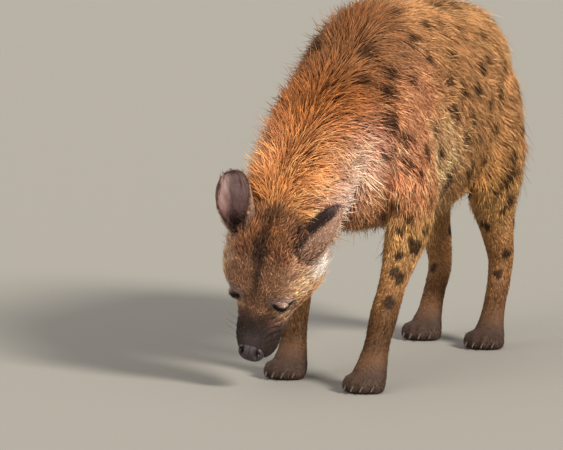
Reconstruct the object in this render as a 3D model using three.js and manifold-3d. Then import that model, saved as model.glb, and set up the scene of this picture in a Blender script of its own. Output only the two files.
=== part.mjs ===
// A spotted hyena, life size, standing with braced forelegs and its head lowered between them to the ground.
// Millimetres, +Z up. The nose points to -Y, the tail to +Y, and the animal's left side is +X.
// Every part of the body is a tube of oval rings carried along a smooth line through the joints of the
// skeleton, and the long coat is made of flat, tapered locks rooted in those tubes. Neighbouring parts are
// cut clear of one another by a thin gap.
import * as THREE from "three";
import { mergeVertices } from "three/addons/utils/BufferGeometryUtils.js";
import Module from "manifold-3d";

const wasm = await Module();
wasm.setup();

// Clearance between parts that touch
const GAP = 0.35;

// The trunk's profile, from the breastbone to the buttocks. Each station gives its place along the body, the
// height of the back and of the belly, and the half width, all under the coat.
const TRUNK = [
  { y: -404, back: 512, belly: 420, half: 44 },
  { y: -384, back: 566, belly: 366, half: 82 },
  { y: -335, back: 654, belly: 322, half: 112 },
  { y: -265, back: 712, belly: 308, half: 130 },
  { y: -180, back: 732, belly: 303, half: 138 },
  { y: -80, back: 734, belly: 294, half: 142 },
  { y: 20, back: 732, belly: 294, half: 142 },
  { y: 120, back: 728, belly: 304, half: 136 },
  { y: 210, back: 720, belly: 328, half: 126 },
  { y: 290, back: 706, belly: 380, half: 112 },
  { y: 345, back: 682, belly: 436, half: 92 },
  { y: 382, back: 646, belly: 496, half: 62 },
  { y: 398, back: 612, belly: 540, half: 30 },
];

// The head hangs straight down from the crown, tipped to the animal's right, the nose nearest the ground
const NOSE_TIP = [-118, -500, 68];
const HEAD_TIP = 12.5;
const HEAD_TUCK = 3;
const EYE = { up: 127, left: 46, over: 27, radius: 14 };

// The left ear is turned towards the crown, the right one faces forward
const EAR = { long: 126, half: 38, wall: 5, round: 9 };
const EAR_LEFT = { up: 220, left: 97, over: 8, lean: [0.9, 0.2, -0.06], facing: [0, -0.9, 0.75] };
const EAR_RIGHT = { up: 241, left: -60, over: 4, lean: [0.9, -0.42, 0], facing: [0, 0.02, 0.95] };

// Limbs, joint by joint from the sole to the top of the shoulder blade or the hip
const FORELIMB_LEFT = [
  [96, -416, 0], [96, -416, 24], [98, -402, 56], [101, -386, 96], [104, -364, 142], [107, -328, 200],
  [109, -286, 262], [110, -246, 330], [108, -240, 410], [98, -252, 500], [80, -250, 590], [56, -240, 670],
];
const FORELIMB_RIGHT = [
  [-122, -306, 0], [-122, -306, 24], [-122, -296, 56], [-121, -288, 100], [-120, -280, 150],
  [-118, -264, 215], [-116, -240, 280], [-112, -226, 340], [-110, -236, 420], [-98, -250, 505],
  [-80, -250, 590], [-56, -240, 670],
];
const HINDLIMB_LEFT = [
  [86, 250, 0], [86, 250, 22], [86, 262, 52], [87, 282, 100], [88, 300, 146], [90, 300, 188],
  [92, 280, 236], [94, 254, 300], [95, 244, 370], [92, 252, 450], [80, 266, 540], [56, 276, 620],
];
const HINDLIMB_RIGHT = [
  [-84, 322, 0], [-84, 322, 22], [-84, 338, 52], [-84, 366, 98], [-85, 394, 142], [-88, 396, 186],
  [-92, 384, 236], [-95, 346, 300], [-96, 296, 370], [-92, 268, 450], [-80, 266, 540], [-56, 276, 620],
];

// Girth of a limb at each of those joints: half width, reach to the front and reach to the back
const FORELIMB_GIRTH = [
  [33, 46, 36], [37, 48, 38], [33, 32, 30], [28, 27, 29], [30, 31, 32], [29, 33, 34],
  [36, 44, 46], [42, 66, 64], [44, 88, 80], [44, 86, 80], [40, 70, 72], [28, 42, 50],
];
const HINDLIMB_GIRTH = [
  [31, 44, 34], [35, 46, 36], [30, 29, 27], [26, 25, 25], [27, 28, 31], [29, 35, 35],
  [35, 42, 42], [44, 60, 58], [50, 84, 84], [50, 98, 98], [46, 90, 84], [34, 60, 52],
];
const PAW_TOP = 58;
const LOWER_LEG_TOP = 236;
const TOE = { apart: 19.5, half: 15, long: 25, high: 24, claw: 22 };

const degrees = THREE.MathUtils.degToRad;

// Smooth curve through values at the given stops
function through(stops, values, s) {
  const last = stops.length - 1;
  let i = 0;
  while (i < last - 1 && s > stops[i + 1]) i += 1;
  const span = stops[i + 1] - stops[i];
  const f = Math.min(Math.max((s - stops[i]) / span, 0), 1);
  const slope = (k) => {
    const before = Math.max(k - 1, 0);
    const after = Math.min(k + 1, last);
    return (values[after] - values[before]) / (stops[after] - stops[before]);
  };
  const f2 = f * f;
  const f3 = f2 * f;
  return (
    values[i] * (2 * f3 - 3 * f2 + 1) +
    slope(i) * span * (f3 - 2 * f2 + f) +
    values[i + 1] * (3 * f2 - 2 * f3) +
    slope(i + 1) * span * (f3 - f2)
  );
}

// A solid from shared corners and triangles
function closed(positions, faces) {
  return new wasm.Manifold(
    new wasm.Mesh({
      numProp: 3,
      vertProperties: new Float32Array(positions),
      triVerts: new Uint32Array(faces),
    }),
  );
}

const fuse = (solids) => solids.reduce((all, next) => all.add(next));

// A tube of oval rings, from nose, foot or tail tip to the end that joins the body. line gives the middle of
// each ring, girth its half width, its reach over (forehead, back or front of a leg) and its reach under.
// Rings stand across the line, or all across one axis where that is given.
class Tube {
  constructor({ line, girth, axis, lateral = [1, 0, 0], square = 2, bumps = [] }) {
    this.axis = axis && new THREE.Vector3(...axis);
    this.line = line;
    this.girth = girth;
    this.lateral = new THREE.Vector3(...lateral);
    this.square = square;
    this.bumps = bumps;
    this.stops = [0];
    for (let i = 1; i < line.length; i += 1) {
      const step = Math.hypot(...line[i].map((value, axis) => value - line[i - 1][axis]));
      this.stops.push(this.stops[i - 1] + step);
    }
    this.length = this.stops[this.stops.length - 1];
  }

  centre(s) {
    const along = (axis) => through(this.stops, this.line.map((point) => point[axis]), s);
    return new THREE.Vector3(along(0), along(1), along(2));
  }

  frame(s) {
    const step = 2;
    const ahead = this.centre(Math.min(s + step, this.length));
    const tangent = this.axis?.clone() ?? ahead.sub(this.centre(Math.max(s - step, 0))).normalize();
    const side = this.lateral.clone().addScaledVector(tangent, -this.lateral.dot(tangent)).normalize();
    return { tangent, side, over: new THREE.Vector3().crossVectors(side, tangent) };
  }

  // The point at distance s along and angle a round: 0 is the animal's left, 90 degrees the over side
  point(s, a, grow = 0) {
    const { side, over } = this.frame(s);
    const power = 2 / this.square;
    const c = Math.sign(Math.cos(a)) * Math.abs(Math.cos(a)) ** power;
    const d = Math.sign(Math.sin(a)) * Math.abs(Math.sin(a)) ** power;
    const reach = (k) => through(this.stops, this.girth.map((row) => row[k]), s);
    const wide = reach(0);
    const tall = reach(Math.sin(a) > 0 ? 1 : 2);
    let swell = grow;
    for (const bump of this.bumps) {
      const along = (s - bump.s) / bump.long;
      const turn = Math.atan2(Math.sin(a - bump.a), Math.cos(a - bump.a)) / bump.wide;
      swell += bump.high * Math.exp(-along * along - turn * turn);
    }
    return this.centre(s)
      .addScaledVector(side, c * (wide + swell))
      .addScaledVector(over, d * (tall + swell));
  }

  normal(s, a) {
    const ds = 3;
    const da = 0.03;
    const along = this.point(Math.min(s + ds, this.length), a).sub(this.point(Math.max(s - ds, 0), a));
    const round = this.point(s, a + da).sub(this.point(s, a - da));
    return round.cross(along).normalize();
  }

  solid(rings, sides, grow = 0) {
    const positions = [];
    const faces = [];
    for (let i = 0; i <= rings; i += 1) {
      const s = (this.length * i) / rings;
      for (let j = 0; j < sides; j += 1) {
        const p = this.point(s, (2 * Math.PI * j) / sides, grow);
        positions.push(p.x, p.y, p.z);
      }
    }
    for (let i = 0; i < rings; i += 1) {
      for (let j = 0; j < sides; j += 1) {
        const a = i * sides + j;
        const b = i * sides + ((j + 1) % sides);
        faces.push(a, b + sides, b, a, a + sides, b + sides);
      }
    }
    for (const [ring, outward] of [[0, -1], [rings, 1]]) {
      const { tangent } = this.frame((this.length * ring) / rings);
      const hub = this.centre((this.length * ring) / rings).addScaledVector(tangent, outward * grow);
      const middle = positions.push(hub.x, hub.y, hub.z) / 3 - 1;
      for (let j = 0; j < sides; j += 1) {
        const a = ring * sides + j;
        const b = ring * sides + ((j + 1) % sides);
        faces.push(...(outward < 0 ? [middle, a, b] : [middle, b, a]));
      }
    }
    return closed(positions, faces);
  }
}

// An oval ball: radii along three directions about a place
function ball(middle, directions, radii, around = 12, rows = 8) {
  const shape = new THREE.SphereGeometry(1, around, rows);
  shape.deleteAttribute("normal");
  shape.deleteAttribute("uv");
  const [x, y, z] = directions.map((direction, k) => direction.clone().multiplyScalar(radii[k]));
  shape.applyMatrix4(new THREE.Matrix4().makeBasis(x, y, z).setPosition(middle));
  const merged = mergeVertices(shape, 1e-4);
  return closed([...merged.attributes.position.array], [...merged.index.array]);
}

const torso = new Tube({
  axis: [0, 1, 0],
  square: 2.15,
  line: TRUNK.map(({ y, back, belly }) => [0, y, (back + belly) / 2]),
  girth: TRUNK.map(({ back, belly, half }) => [half, (back - belly) / 2, (back - belly) / 2]),
});

// Head: places on it are given by their height above the nose tip, how far to the left, and how far out over
// the forehead side
const noseTip = new THREE.Vector3(...NOSE_TIP);
const tipped = degrees(HEAD_TIP);
const headLeft = new THREE.Vector3(Math.cos(tipped), 0, -Math.sin(tipped));
const headUp = new THREE.Vector3(Math.sin(tipped), -Math.tan(degrees(HEAD_TUCK)), Math.cos(tipped));
headUp.normalize();
const headOver = new THREE.Vector3().crossVectors(headLeft, headUp);
function onHead(up, left, over) {
  return noseTip
    .clone()
    .addScaledVector(headUp, up)
    .addScaledVector(headLeft, left)
    .addScaledVector(headOver, over);
}

// Skull and muzzle, from the nose to the back of the crown: height, shift over, half width, over, under
const SKULL = [
  [0, 1, 19, 15, 14], [5, 0, 30, 25, 21], [20, -1, 37, 33, 27], [50, -2, 42, 37, 33],
  [80, -3, 47, 41, 48], [108, -4, 58, 49, 70], [135, -6, 77, 60, 92], [165, -8, 94, 68, 108],
  [200, -12, 99, 74, 112], [235, -20, 93, 76, 96], [268, -32, 70, 66, 70], [290, -42, 38, 40, 38],
];
const eyeAngle = Math.atan2(EYE.over + 6, EYE.left);
const onBothSides = (bump) => [bump, { ...bump, a: Math.PI - bump.a }];
const head = new Tube({
  lateral: headLeft.toArray(),
  square: 2.25,
  line: SKULL.map(([up, over]) => onHead(up, 0, over).toArray()),
  girth: SKULL.map((row) => row.slice(2)),
  bumps: [
    ...onBothSides({ s: EYE.up - 8, a: eyeAngle, long: 22, wide: 0.36, high: -5 }),
    ...onBothSides({ s: EYE.up + 24, a: eyeAngle + 0.25, long: 18, wide: 0.4, high: 5 }),
    ...onBothSides({ s: 40, a: -0.5, long: 40, wide: 0.4, high: 3 }),
    { s: 250, a: Math.PI / 2, long: 50, wide: 0.35, high: 6 },
    { s: 60, a: Math.PI / 2, long: 40, wide: 0.5, high: -3 },
  ],
});

// Lower jaw, shut against the upper lips
const JAW = [
  [9, -30, 12, 14, 8], [16, -33, 23, 22, 17], [42, -41, 33, 28, 25], [78, -52, 40, 28, 31],
  [112, -66, 46, 28, 34], [142, -78, 42, 22, 30],
];
const jaw = new Tube({
  lateral: headLeft.toArray(),
  square: 2.4,
  line: JAW.map(([up, over]) => onHead(up, 0, over).toArray()),
  girth: JAW.map((row) => row.slice(2)),
});

// Neck, from inside the skull back up to the withers
const neck = new Tube({
  line: [
    onHead(205, 0, -30).toArray(), onHead(240, 0, -48).toArray(), [-58, -430, 380], [-38, -396, 446],
    [-18, -350, 504], [-4, -292, 548], [0, -220, 574], [0, -160, 586],
  ],
  girth: [
    [60, 60, 60], [80, 74, 84], [92, 86, 100], [98, 98, 116], [104, 110, 132], [106, 122, 146],
    [92, 120, 136], [50, 66, 80],
  ],
});

// Tail, from its tip up to the croup
const tail = new Tube({
  line: [
    [0, 416, 330], [0, 418, 346], [0, 428, 396], [0, 434, 456], [0, 430, 516], [0, 416, 576], [0, 384, 628],
    [0, 336, 648],
  ],
  girth: [
    [8, 8, 8], [17, 17, 17], [28, 28, 28], [28, 28, 28], [23, 23, 23], [23, 23, 23], [28, 28, 28],
    [28, 28, 28],
  ],
});

const limb = (line, girth) => new Tube({ line, girth, square: 2.2 });
const limbs = {
  foreleg_left: limb(FORELIMB_LEFT, FORELIMB_GIRTH),
  foreleg_right: limb(FORELIMB_RIGHT, FORELIMB_GIRTH),
  hindleg_left: limb(HINDLIMB_LEFT, HINDLIMB_GIRTH),
  hindleg_right: limb(HINDLIMB_RIGHT, HINDLIMB_GIRTH),
};

const limbCore = (leg, grow = 0) => leg.solid(18, 12, grow);

const headDirection = ([up, left, over]) =>
  new THREE.Vector3().addScaledVector(headUp, up).addScaledVector(headLeft, left).addScaledVector(headOver, over);

// Each ear is a curled leaf growing from the crown: nearly a full tube at its root, opening into a broad
// shallow cup with a rounded tip
function earSolid(ear, grow = 0) {
  const root = onHead(ear.up, ear.left, ear.over);
  const axis = headDirection(ear.lean).normalize();
  const facing = headDirection(ear.facing);
  facing.addScaledVector(axis, -facing.dot(axis)).normalize();
  const across = new THREE.Vector3().crossVectors(axis, facing);
  const rows = 7;
  const columns = 8;
  const positions = [];
  const faces = [];
  for (const outward of [1, -1]) {
    for (let i = 0; i <= rows; i += 1) {
      const u = Math.sin((i / rows) * (Math.PI / 2));
      const half = EAR.half * (0.42 + 1.5 * u - 1.02 * u * u) * Math.sqrt(Math.max(1 - u ** EAR.round, 0.03));
      const curl = degrees(160 - 100 * u ** 0.9);
      const radius = half / Math.sin(Math.min(curl, Math.PI / 2));
      const wall = (EAR.wall * (1.4 - 0.8 * u)) / 2 + grow;
      for (let j = 0; j <= columns; j += 1) {
        const place = (2 * j) / columns - 1;
        const a = curl * place;
        const r = radius + outward * wall * (1 - 0.6 * Math.abs(place) ** 6);
        const p = root
          .clone()
          .addScaledVector(axis, EAR.long * u + (i === rows ? grow : 0))
          .addScaledVector(across, r * Math.sin(a))
          .addScaledVector(facing, radius * 0.75 - r * Math.cos(a));
        positions.push(p.x, p.y, p.z);
      }
    }
  }
  const wide = columns + 1;
  const back = (rows + 1) * wide;
  const top = rows * wide;
  const quad = (a, b, c, d) => faces.push(a, c, b, a, d, c);
  for (let i = 0; i < rows; i += 1) {
    for (let j = 0; j < columns; j += 1) {
      const a = i * wide + j;
      quad(a, a + 1, a + wide + 1, a + wide);
      quad(back + a, back + a + wide, back + a + wide + 1, back + a + 1);
    }
    const left = i * wide;
    const right = left + columns;
    quad(left, left + wide, back + left + wide, back + left);
    quad(right, back + right, back + right + wide, right + wide);
  }
  for (let j = 0; j < columns; j += 1) {
    quad(j, back + j, back + j + 1, j + 1);
    quad(top + j, top + j + 1, back + top + j + 1, back + top + j);
  }
  return closed(positions, faces);
}

// Eyes, nearly shut: the ball, its socket, the lids that swell over it, and the slit between them
const LID = 3.4;
const SLIT = { half: 14, high: 3.6, deep: 15, tilt: 20 };
const eyes = [1, -1].map((sign) => {
  const middle = onHead(EYE.up, sign * EYE.left, EYE.over);
  const out = headLeft.clone().multiplyScalar(sign * 0.8).addScaledVector(headOver, 0.6).normalize();
  const along = headUp.clone().addScaledVector(out, -headUp.dot(out)).normalize();
  const across = new THREE.Vector3().crossVectors(along, out);
  const tilt = degrees(SLIT.tilt) * sign;
  const slitAcross = across.clone().multiplyScalar(Math.cos(tilt)).addScaledVector(along, Math.sin(tilt));
  const slitAlong = new THREE.Vector3().crossVectors(out, slitAcross);
  const slitMiddle = middle.clone().addScaledVector(out, EYE.radius).addScaledVector(along, -3);
  const round = (extra) => Array(3).fill(EYE.radius + extra);
  const lidSizes = [EYE.radius + 6, EYE.radius + LID + 1, EYE.radius + LID];
  return {
    eyeball: ball(middle, [across, along, out], round(0), 10, 6),
    socket: ball(middle, [across, along, out], round(GAP), 10, 6),
    lids: ball(middle, [across, along, out], lidSizes, 10, 7),
    slit: ball(slitMiddle, [slitAcross, slitAlong, out], [SLIT.half, SLIT.high, SLIT.deep], 8, 5),
  };
});

function headSolid(grow = 0) {
  const skull = head.solid(19, 20, grow);
  if (grow > 0) return skull;
  return eyes.reduce((all, { lids, socket, slit }) => all.add(lids).subtract(socket).subtract(slit), skull);
}

// Nose pad with its two nostrils, which open to the sides
const NOSE = { up: 12, over: 15, half: 24, tall: 19, thick: 17, nostril: [6, 8, 8] };
function noseSolid(grow = 0) {
  const axes = [headLeft, headUp, headOver];
  const sizes = [NOSE.half, NOSE.tall, NOSE.thick].map((size) => size + grow);
  const pad = ball(onHead(NOSE.up, 0, NOSE.over), axes, sizes, 12, 8);
  if (grow > 0) return pad;
  const nostril = (sign) => ball(onHead(NOSE.up - 7, sign * 13, NOSE.over + 13), axes, NOSE.nostril, 8, 6);
  return pad.subtract(nostril(1)).subtract(nostril(-1));
}

// A paw: the foot end of a limb with four toes and their blunt claws
function pawSolid(leg, grow = 0) {
  const foot = leg.centre(0);
  const forward = new THREE.Vector3(0, -1, 0);
  const across = new THREE.Vector3(1, 0, 0);
  const up = new THREE.Vector3(0, 0, 1);
  const toes = [-1.5, -0.5, 0.5, 1.5].flatMap((place) => {
    const reach = Math.abs(place) < 1 ? 42 : 31;
    const middle = foot
      .clone()
      .addScaledVector(across, place * TOE.apart)
      .addScaledVector(forward, reach)
      .addScaledVector(up, 14);
    const sizes = [TOE.long, TOE.half, TOE.high].map((size) => size + grow);
    const knuckle = middle.clone().addScaledVector(forward, TOE.long - 8).addScaledVector(up, 3);
    const clawLine = [1, 0.55, 0].map((t) =>
      knuckle.clone().addScaledVector(forward, TOE.claw * t).addScaledVector(up, -10 * t * t).toArray(),
    );
    const claw = new Tube({ line: clawLine, girth: [[1, 1, 1], [2.8, 3, 3], [4.2, 5, 5]] });
    return [ball(middle, [forward, across, up], sizes, 8, 5), claw.solid(2, 4, grow)];
  });
  return fuse([limbCore(leg, grow), ...toes])
    .trimByPlane([0, 0, 1], -grow)
    .trimByPlane([0, 0, -1], -PAW_TOP - grow);
}

// Draws that come out the same each time
function draws(seed) {
  let state = seed;
  return (low, high) => {
    state = (state * 1664525 + 1013904223) % 4294967296;
    return low + ((high - low) * state) / 4294967296;
  };
}

// One lock of the coat: a flat, tapered piece with a lens-shaped section. Its root is sunk in the tube, and
// it follows the tube's surface on its own heading, turning as it goes and rising to its tip. Heading 0
// points to the tube's far end, 90 degrees down its flank, 180 degrees back to its start.
const LOCK_STEPS = [0, 0.38, 0.76, 1];
const LOCK_WIDTHS = [0.72, 1, 0.66];
const LOCK_DEPTHS = [1, 1, 0.7];
function lock(tube, { s, a, long, wide, thick, sunk, lift, heading, bend }, grow = 0) {
  const down = Math.cos(a) >= 0 ? -1 : 1;
  let along = s;
  let round = a;
  const path = LOCK_STEPS.map((t, i) => {
    const before = LOCK_STEPS[Math.max(i - 1, 0)];
    const reach = long * (t - before);
    const way = degrees(heading + (bend * (t + before)) / 2);
    const radius = tube.point(along, round + 0.05).distanceTo(tube.point(along, round)) / 0.05;
    along += reach * Math.cos(way);
    round += (down * reach * Math.sin(way)) / radius;
    return { at: tube.point(along, round, (sunk + lift) * t - sunk), up: tube.normal(along, round) };
  });
  const tip = path[path.length - 1].at;
  tip.addScaledVector(tip.clone().sub(path[2].at).normalize(), 6 * grow);
  const positions = [];
  const faces = [0, 3, 2, 0, 2, 1];
  LOCK_WIDTHS.forEach((width, i) => {
    const { at, up } = path[i];
    const onward = path[i + 1].at.clone().sub(path[Math.max(i - 1, 0)].at);
    const across = new THREE.Vector3().crossVectors(up, onward).normalize();
    across.multiplyScalar((width * wide) / 2 + grow);
    const out = up.clone().multiplyScalar((LOCK_DEPTHS[i] * thick) / 2 + 1.4 * grow);
    const offsets = [across, out, across.clone().negate(), out.clone().negate()];
    offsets.forEach((offset) => positions.push(...at.clone().add(offset).toArray()));
    for (let j = 0; j < 4; j += 1) {
      const here = 4 * i + j;
      const next = 4 * i + ((j + 1) % 4);
      if (i < LOCK_WIDTHS.length - 1) faces.push(here, next, next + 4, here, next + 4, here + 4);
      else faces.push(here, next, 4 * LOCK_WIDTHS.length);
    }
  });
  positions.push(...tip.toArray());
  return closed(positions, faces);
}

// Places spread evenly over a band of a ring, by its length along the surface
function spread(tube, s, [start, end], gap) {
  const steps = 36;
  const angles = Array.from({ length: steps + 1 }, (_, k) => start + ((end - start) * k) / steps);
  const lengths = [0];
  for (let k = 1; k <= steps; k += 1) {
    lengths.push(lengths[k - 1] + tube.point(s, angles[k]).distanceTo(tube.point(s, angles[k - 1])));
  }
  const count = Math.max(Math.round(lengths[steps] / gap), 1);
  const angleAt = (share) => {
    const want = Math.min(Math.max(share, 0), 1) * lengths[steps];
    const k = Math.max(lengths.findIndex((length) => length >= want), 1);
    const part = (want - lengths[k - 1]) / (lengths[k] - lengths[k - 1]);
    return angles[k - 1] + part * (angles[k] - angles[k - 1]);
  };
  return { count, angleAt };
}

// Locks set like tiles over a stretch of a tube: from and to along it, a band of angles round it, the space
// between rows and between neighbours in a row
const VARY = 0.14;
function field(tube, { seed, from, to, row, band, gap, ...shape }) {
  const draw = draws(seed);
  const rows = Math.max(Math.round((to - from) / row), 1);
  return Array.from({ length: rows + 1 }, (_, i) => {
    const s = from + ((to - from) * i) / rows;
    const { count, angleAt } = spread(tube, s, band.map(degrees), gap);
    return Array.from({ length: count }, (_, j) => ({
      ...shape,
      s: s + draw(-VARY, VARY) * row,
      a: angleAt((j + (i % 2 ? 0.27 : 0.73) + draw(-VARY, VARY)) / count),
      long: shape.long * (1 + draw(-VARY, VARY)),
      wide: shape.wide * (1 + draw(-VARY, VARY) / 2),
      lift: shape.lift * (1 + draw(-VARY, VARY) * 2),
      heading: shape.heading + draw(-9, 9),
      bend: draw(-14, 14),
    }));
  }).flat();
}
const mirrored = (area) => {
  const [start, end] = area.band;
  return { ...area, seed: area.seed + 100, band: [180 - end, 180 - start] };
};
const bothSides = (area) => [area, mirrored(area)];

// The coat, area by area. It lies back and down along the body, is longest over the nape and withers, and
// hangs as a fringe under the throat, the belly and behind the legs.
const LONG = { row: 102, gap: 96, long: 142, wide: 98, thick: 9, sunk: 9, lift: 17, heading: 24 };
const NECK = { ...LONG, row: 74, gap: 74, long: 118, wide: 78, lift: 21 };
const MANE = { ...LONG, row: 50, gap: 44, long: 104, wide: 46, lift: 42, heading: 0 };
const FRINGE = { ...LONG, row: 72, gap: 60, long: 90, wide: 56, thick: 8, lift: 22, heading: 180 };
const COAT = {
  torso: [
    ...bothSides({ ...LONG, seed: 11, from: 70, to: 690, band: [-50, 66] }),
    { ...MANE, seed: 13, from: 60, to: 330, row: 66, band: [72, 108] },
    { ...LONG, seed: 15, from: 390, to: 680, gap: 62, wide: 62, lift: 22, heading: 0, band: [72, 108] },
    { ...LONG, seed: 14, from: 80, to: 560, long: 104, wide: 80, lift: 26, heading: 8, band: [-126, -54] },
  ],
  neck: [
    ...bothSides({ ...NECK, seed: 21, from: 84, to: 330, band: [-62, 60] }),
    { ...MANE, seed: 23, from: 66, to: 390, band: [66, 114] },
    { ...FRINGE, seed: 24, from: 110, to: 300, row: 62, heading: 0, band: [-116, -64] },
  ],
  head: bothSides({
    ...FRINGE, seed: 31, from: 180, to: 222, row: 44, gap: 54, long: 64, wide: 50, lift: 14, heading: 8,
    band: [-70, -10],
  }),
  foreleg: [
    { ...NECK, seed: 41, from: 430, to: 560, long: 100, wide: 68, lift: 9, heading: 160, band: [-62, 62] },
    { ...FRINGE, seed: 42, from: 290, to: 430, band: [-122, -58] },
  ],
  hindleg: [
    { ...NECK, seed: 51, from: 390, to: 560, gap: 80, lift: 10, heading: 160, band: [-62, 70] },
    { ...FRINGE, seed: 52, from: 350, to: 500, band: [-122, -58] },
  ],
  tail: [
    { ...FRINGE, seed: 61, from: 70, to: 210, gap: 52, long: 96, wide: 46, lift: 16, band: [-180, 180] },
  ],
};

const torsoCore = (grow = 0) => torso.solid(17, 22, grow);
const neckCore = (grow = 0) => neck.solid(9, 20, grow);
const tailCore = (grow = 0) => tail.solid(9, 7, grow);
const legsOutside = fuse(Object.values(limbs).map((leg) => limbCore(leg))).subtract(torsoCore(2));
const LOCK_OVERLAP = 0.06;

// A coated part: its core and the locks that stay clear of what stands in their way
function coated(tube, areas, core, obstacle) {
  const locks = areas
    .flatMap((area) => field(tube, area))
    .map((shape) => ({ shape, solid: lock(tube, shape) }))
    .filter(({ solid }) => solid.intersect(obstacle).volume() < LOCK_OVERLAP * solid.volume());
  return (grow = 0) => fuse([core(grow), ...locks.map(({ shape }) => lock(tube, shape, grow))]);
}

// Upper legs carry the shoulder's and thigh's coat and the fringes behind them; lower legs are short haired
function upperLeg(name, tube) {
  const areas = COAT[name.split("_")[0]];
  const sided = name.endsWith("right") ? areas.map(mirrored) : areas;
  const core = (grow) => limbCore(tube, grow).trimByPlane([0, 0, 1], LOWER_LEG_TOP + GAP - grow);
  return coated(tube, sided, core, torsoCore());
}
function lowerLeg(tube, grow = 0) {
  return limbCore(tube, grow)
    .trimByPlane([0, 0, 1], PAW_TOP + GAP - grow)
    .trimByPlane([0, 0, -1], -LOWER_LEG_TOP - grow);
}

const COLOURS = {
  coat: "#a5764c", mane: "#b06a35", face: "#7a5a3c", paw: "#4d3a2c", brush: "#3a2a20", ear: "#6b5044",
};
const eachLimb = (part, build, colour) =>
  Object.entries(limbs).map(([name, tube]) => [name.replace("leg", part), build(name, tube), colour]);
const parts = [
  ["nose", noseSolid, "#2b2422"],
  ["head", coated(head, COAT.head, headSolid, torsoCore()), COLOURS.face],
  ["lower_jaw", (grow = 0) => jaw.solid(9, 14, grow), COLOURS.face],
  ["ear_left", (grow = 0) => earSolid(EAR_LEFT, grow), COLOURS.ear],
  ["ear_right", (grow = 0) => earSolid(EAR_RIGHT, grow), COLOURS.ear],
  ["torso", coated(torso, COAT.torso, torsoCore, legsOutside.add(headSolid())), COLOURS.coat],
  ["neck", coated(neck, COAT.neck, neckCore, fuse([legsOutside, headSolid(), torsoCore(6)])), COLOURS.mane],
  ...eachLimb("leg", upperLeg, COLOURS.coat),
  ...eachLimb("shank", (_, tube) => (grow = 0) => lowerLeg(tube, grow), COLOURS.coat),
  ...eachLimb("paw", (_, tube) => (grow = 0) => pawSolid(tube, grow), COLOURS.paw),
  ["tail", coated(tail, COAT.tail, tailCore, torsoCore()), COLOURS.brush],
];

// A named mesh of one solid in its own colour
function meshOf(name, solid, colour, roughness = 0.9) {
  const { numProp, vertProperties, triVerts } = solid.getMesh();
  const positions = new Float32Array((vertProperties.length / numProp) * 3);
  for (let i = 0; i < positions.length / 3; i += 1) {
    for (let k = 0; k < 3; k += 1) positions[3 * i + k] = vertProperties[i * numProp + k];
  }
  const shape = new THREE.BufferGeometry();
  shape.setAttribute("position", new THREE.BufferAttribute(positions, 3));
  shape.setIndex(new THREE.BufferAttribute(triVerts, 1));
  const surface = new THREE.MeshStandardMaterial({ color: colour, roughness, metalness: 0 });
  const mesh = new THREE.Mesh(shape, surface);
  mesh.name = name;
  return mesh;
}

const hyena = new THREE.Group();
["eye_left", "eye_right"].forEach((name, i) => hyena.add(meshOf(name, eyes[i].eyeball, "#1c120c", 0.2)));
let taken = null;
for (const [name, build, colour] of parts) {
  const whole = build();
  const clear = taken ? whole.subtract(taken) : whole;
  const largest = clear.decompose().sort((a, b) => b.volume() - a.volume())[0];
  hyena.add(meshOf(name, largest, colour));
  taken = fuse([...(taken ? [taken] : []), whole, build(GAP)]);
}

// The origin lies on the ground under the middle of the whole animal
const extent = new THREE.Box3().setFromObject(hyena);
const middle = extent.getCenter(new THREE.Vector3());
hyena.position.set(-middle.x, -middle.y, -extent.min.z);

export default hyena;
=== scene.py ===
import math

import bmesh
import bpy
import numpy as np
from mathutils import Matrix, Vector
from mathutils.bvhtree import BVHTree


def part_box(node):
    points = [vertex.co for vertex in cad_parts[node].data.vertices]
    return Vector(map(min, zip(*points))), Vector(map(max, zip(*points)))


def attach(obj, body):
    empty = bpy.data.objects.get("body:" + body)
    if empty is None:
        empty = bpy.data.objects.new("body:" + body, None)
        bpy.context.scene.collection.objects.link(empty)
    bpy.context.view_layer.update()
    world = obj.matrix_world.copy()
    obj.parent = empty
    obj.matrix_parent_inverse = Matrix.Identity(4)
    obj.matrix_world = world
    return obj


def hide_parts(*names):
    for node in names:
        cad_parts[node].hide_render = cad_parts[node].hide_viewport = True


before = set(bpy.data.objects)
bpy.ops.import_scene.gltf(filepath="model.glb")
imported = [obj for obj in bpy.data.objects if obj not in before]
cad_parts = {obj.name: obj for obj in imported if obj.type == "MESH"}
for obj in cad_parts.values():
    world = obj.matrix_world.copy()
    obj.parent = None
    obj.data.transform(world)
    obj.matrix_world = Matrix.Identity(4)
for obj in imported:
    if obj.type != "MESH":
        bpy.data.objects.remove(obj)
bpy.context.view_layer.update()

chance = np.random.default_rng(7)

# Camera: a long lens twelve metres away, just above the animal's back, looking at its lowered head and its
# left side. The picture cuts off the top of the back, as the photograph does.
PICTURE = (563, 450)
FOCAL_PIXELS = 6000
CAMERA_TURN = math.radians(23)
CAMERA_RISE = math.radians(7)
CAMERA_DISTANCE = 12.0
TARGET_PIXEL = (352, 225)
SENSOR_MM = 36

# A place on the drawing, in millimetres, lies this far from the frame's origin; the left eye fixes it.
HEAD_TIP = math.radians(12.5)
HEAD_TUCK = math.radians(3)
NOSE_TIP = np.array([-118.0, -500.0, 68.0])
HEAD_LEFT = np.array([math.cos(HEAD_TIP), 0.0, -math.sin(HEAD_TIP)])
HEAD_UP = np.array([math.sin(HEAD_TIP), -math.tan(HEAD_TUCK), math.cos(HEAD_TIP)])
HEAD_UP /= np.linalg.norm(HEAD_UP)
HEAD_OVER = np.cross(HEAD_LEFT, HEAD_UP)
EYE = {"up": 127, "left": 46, "over": 27, "radius": 14}


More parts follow.
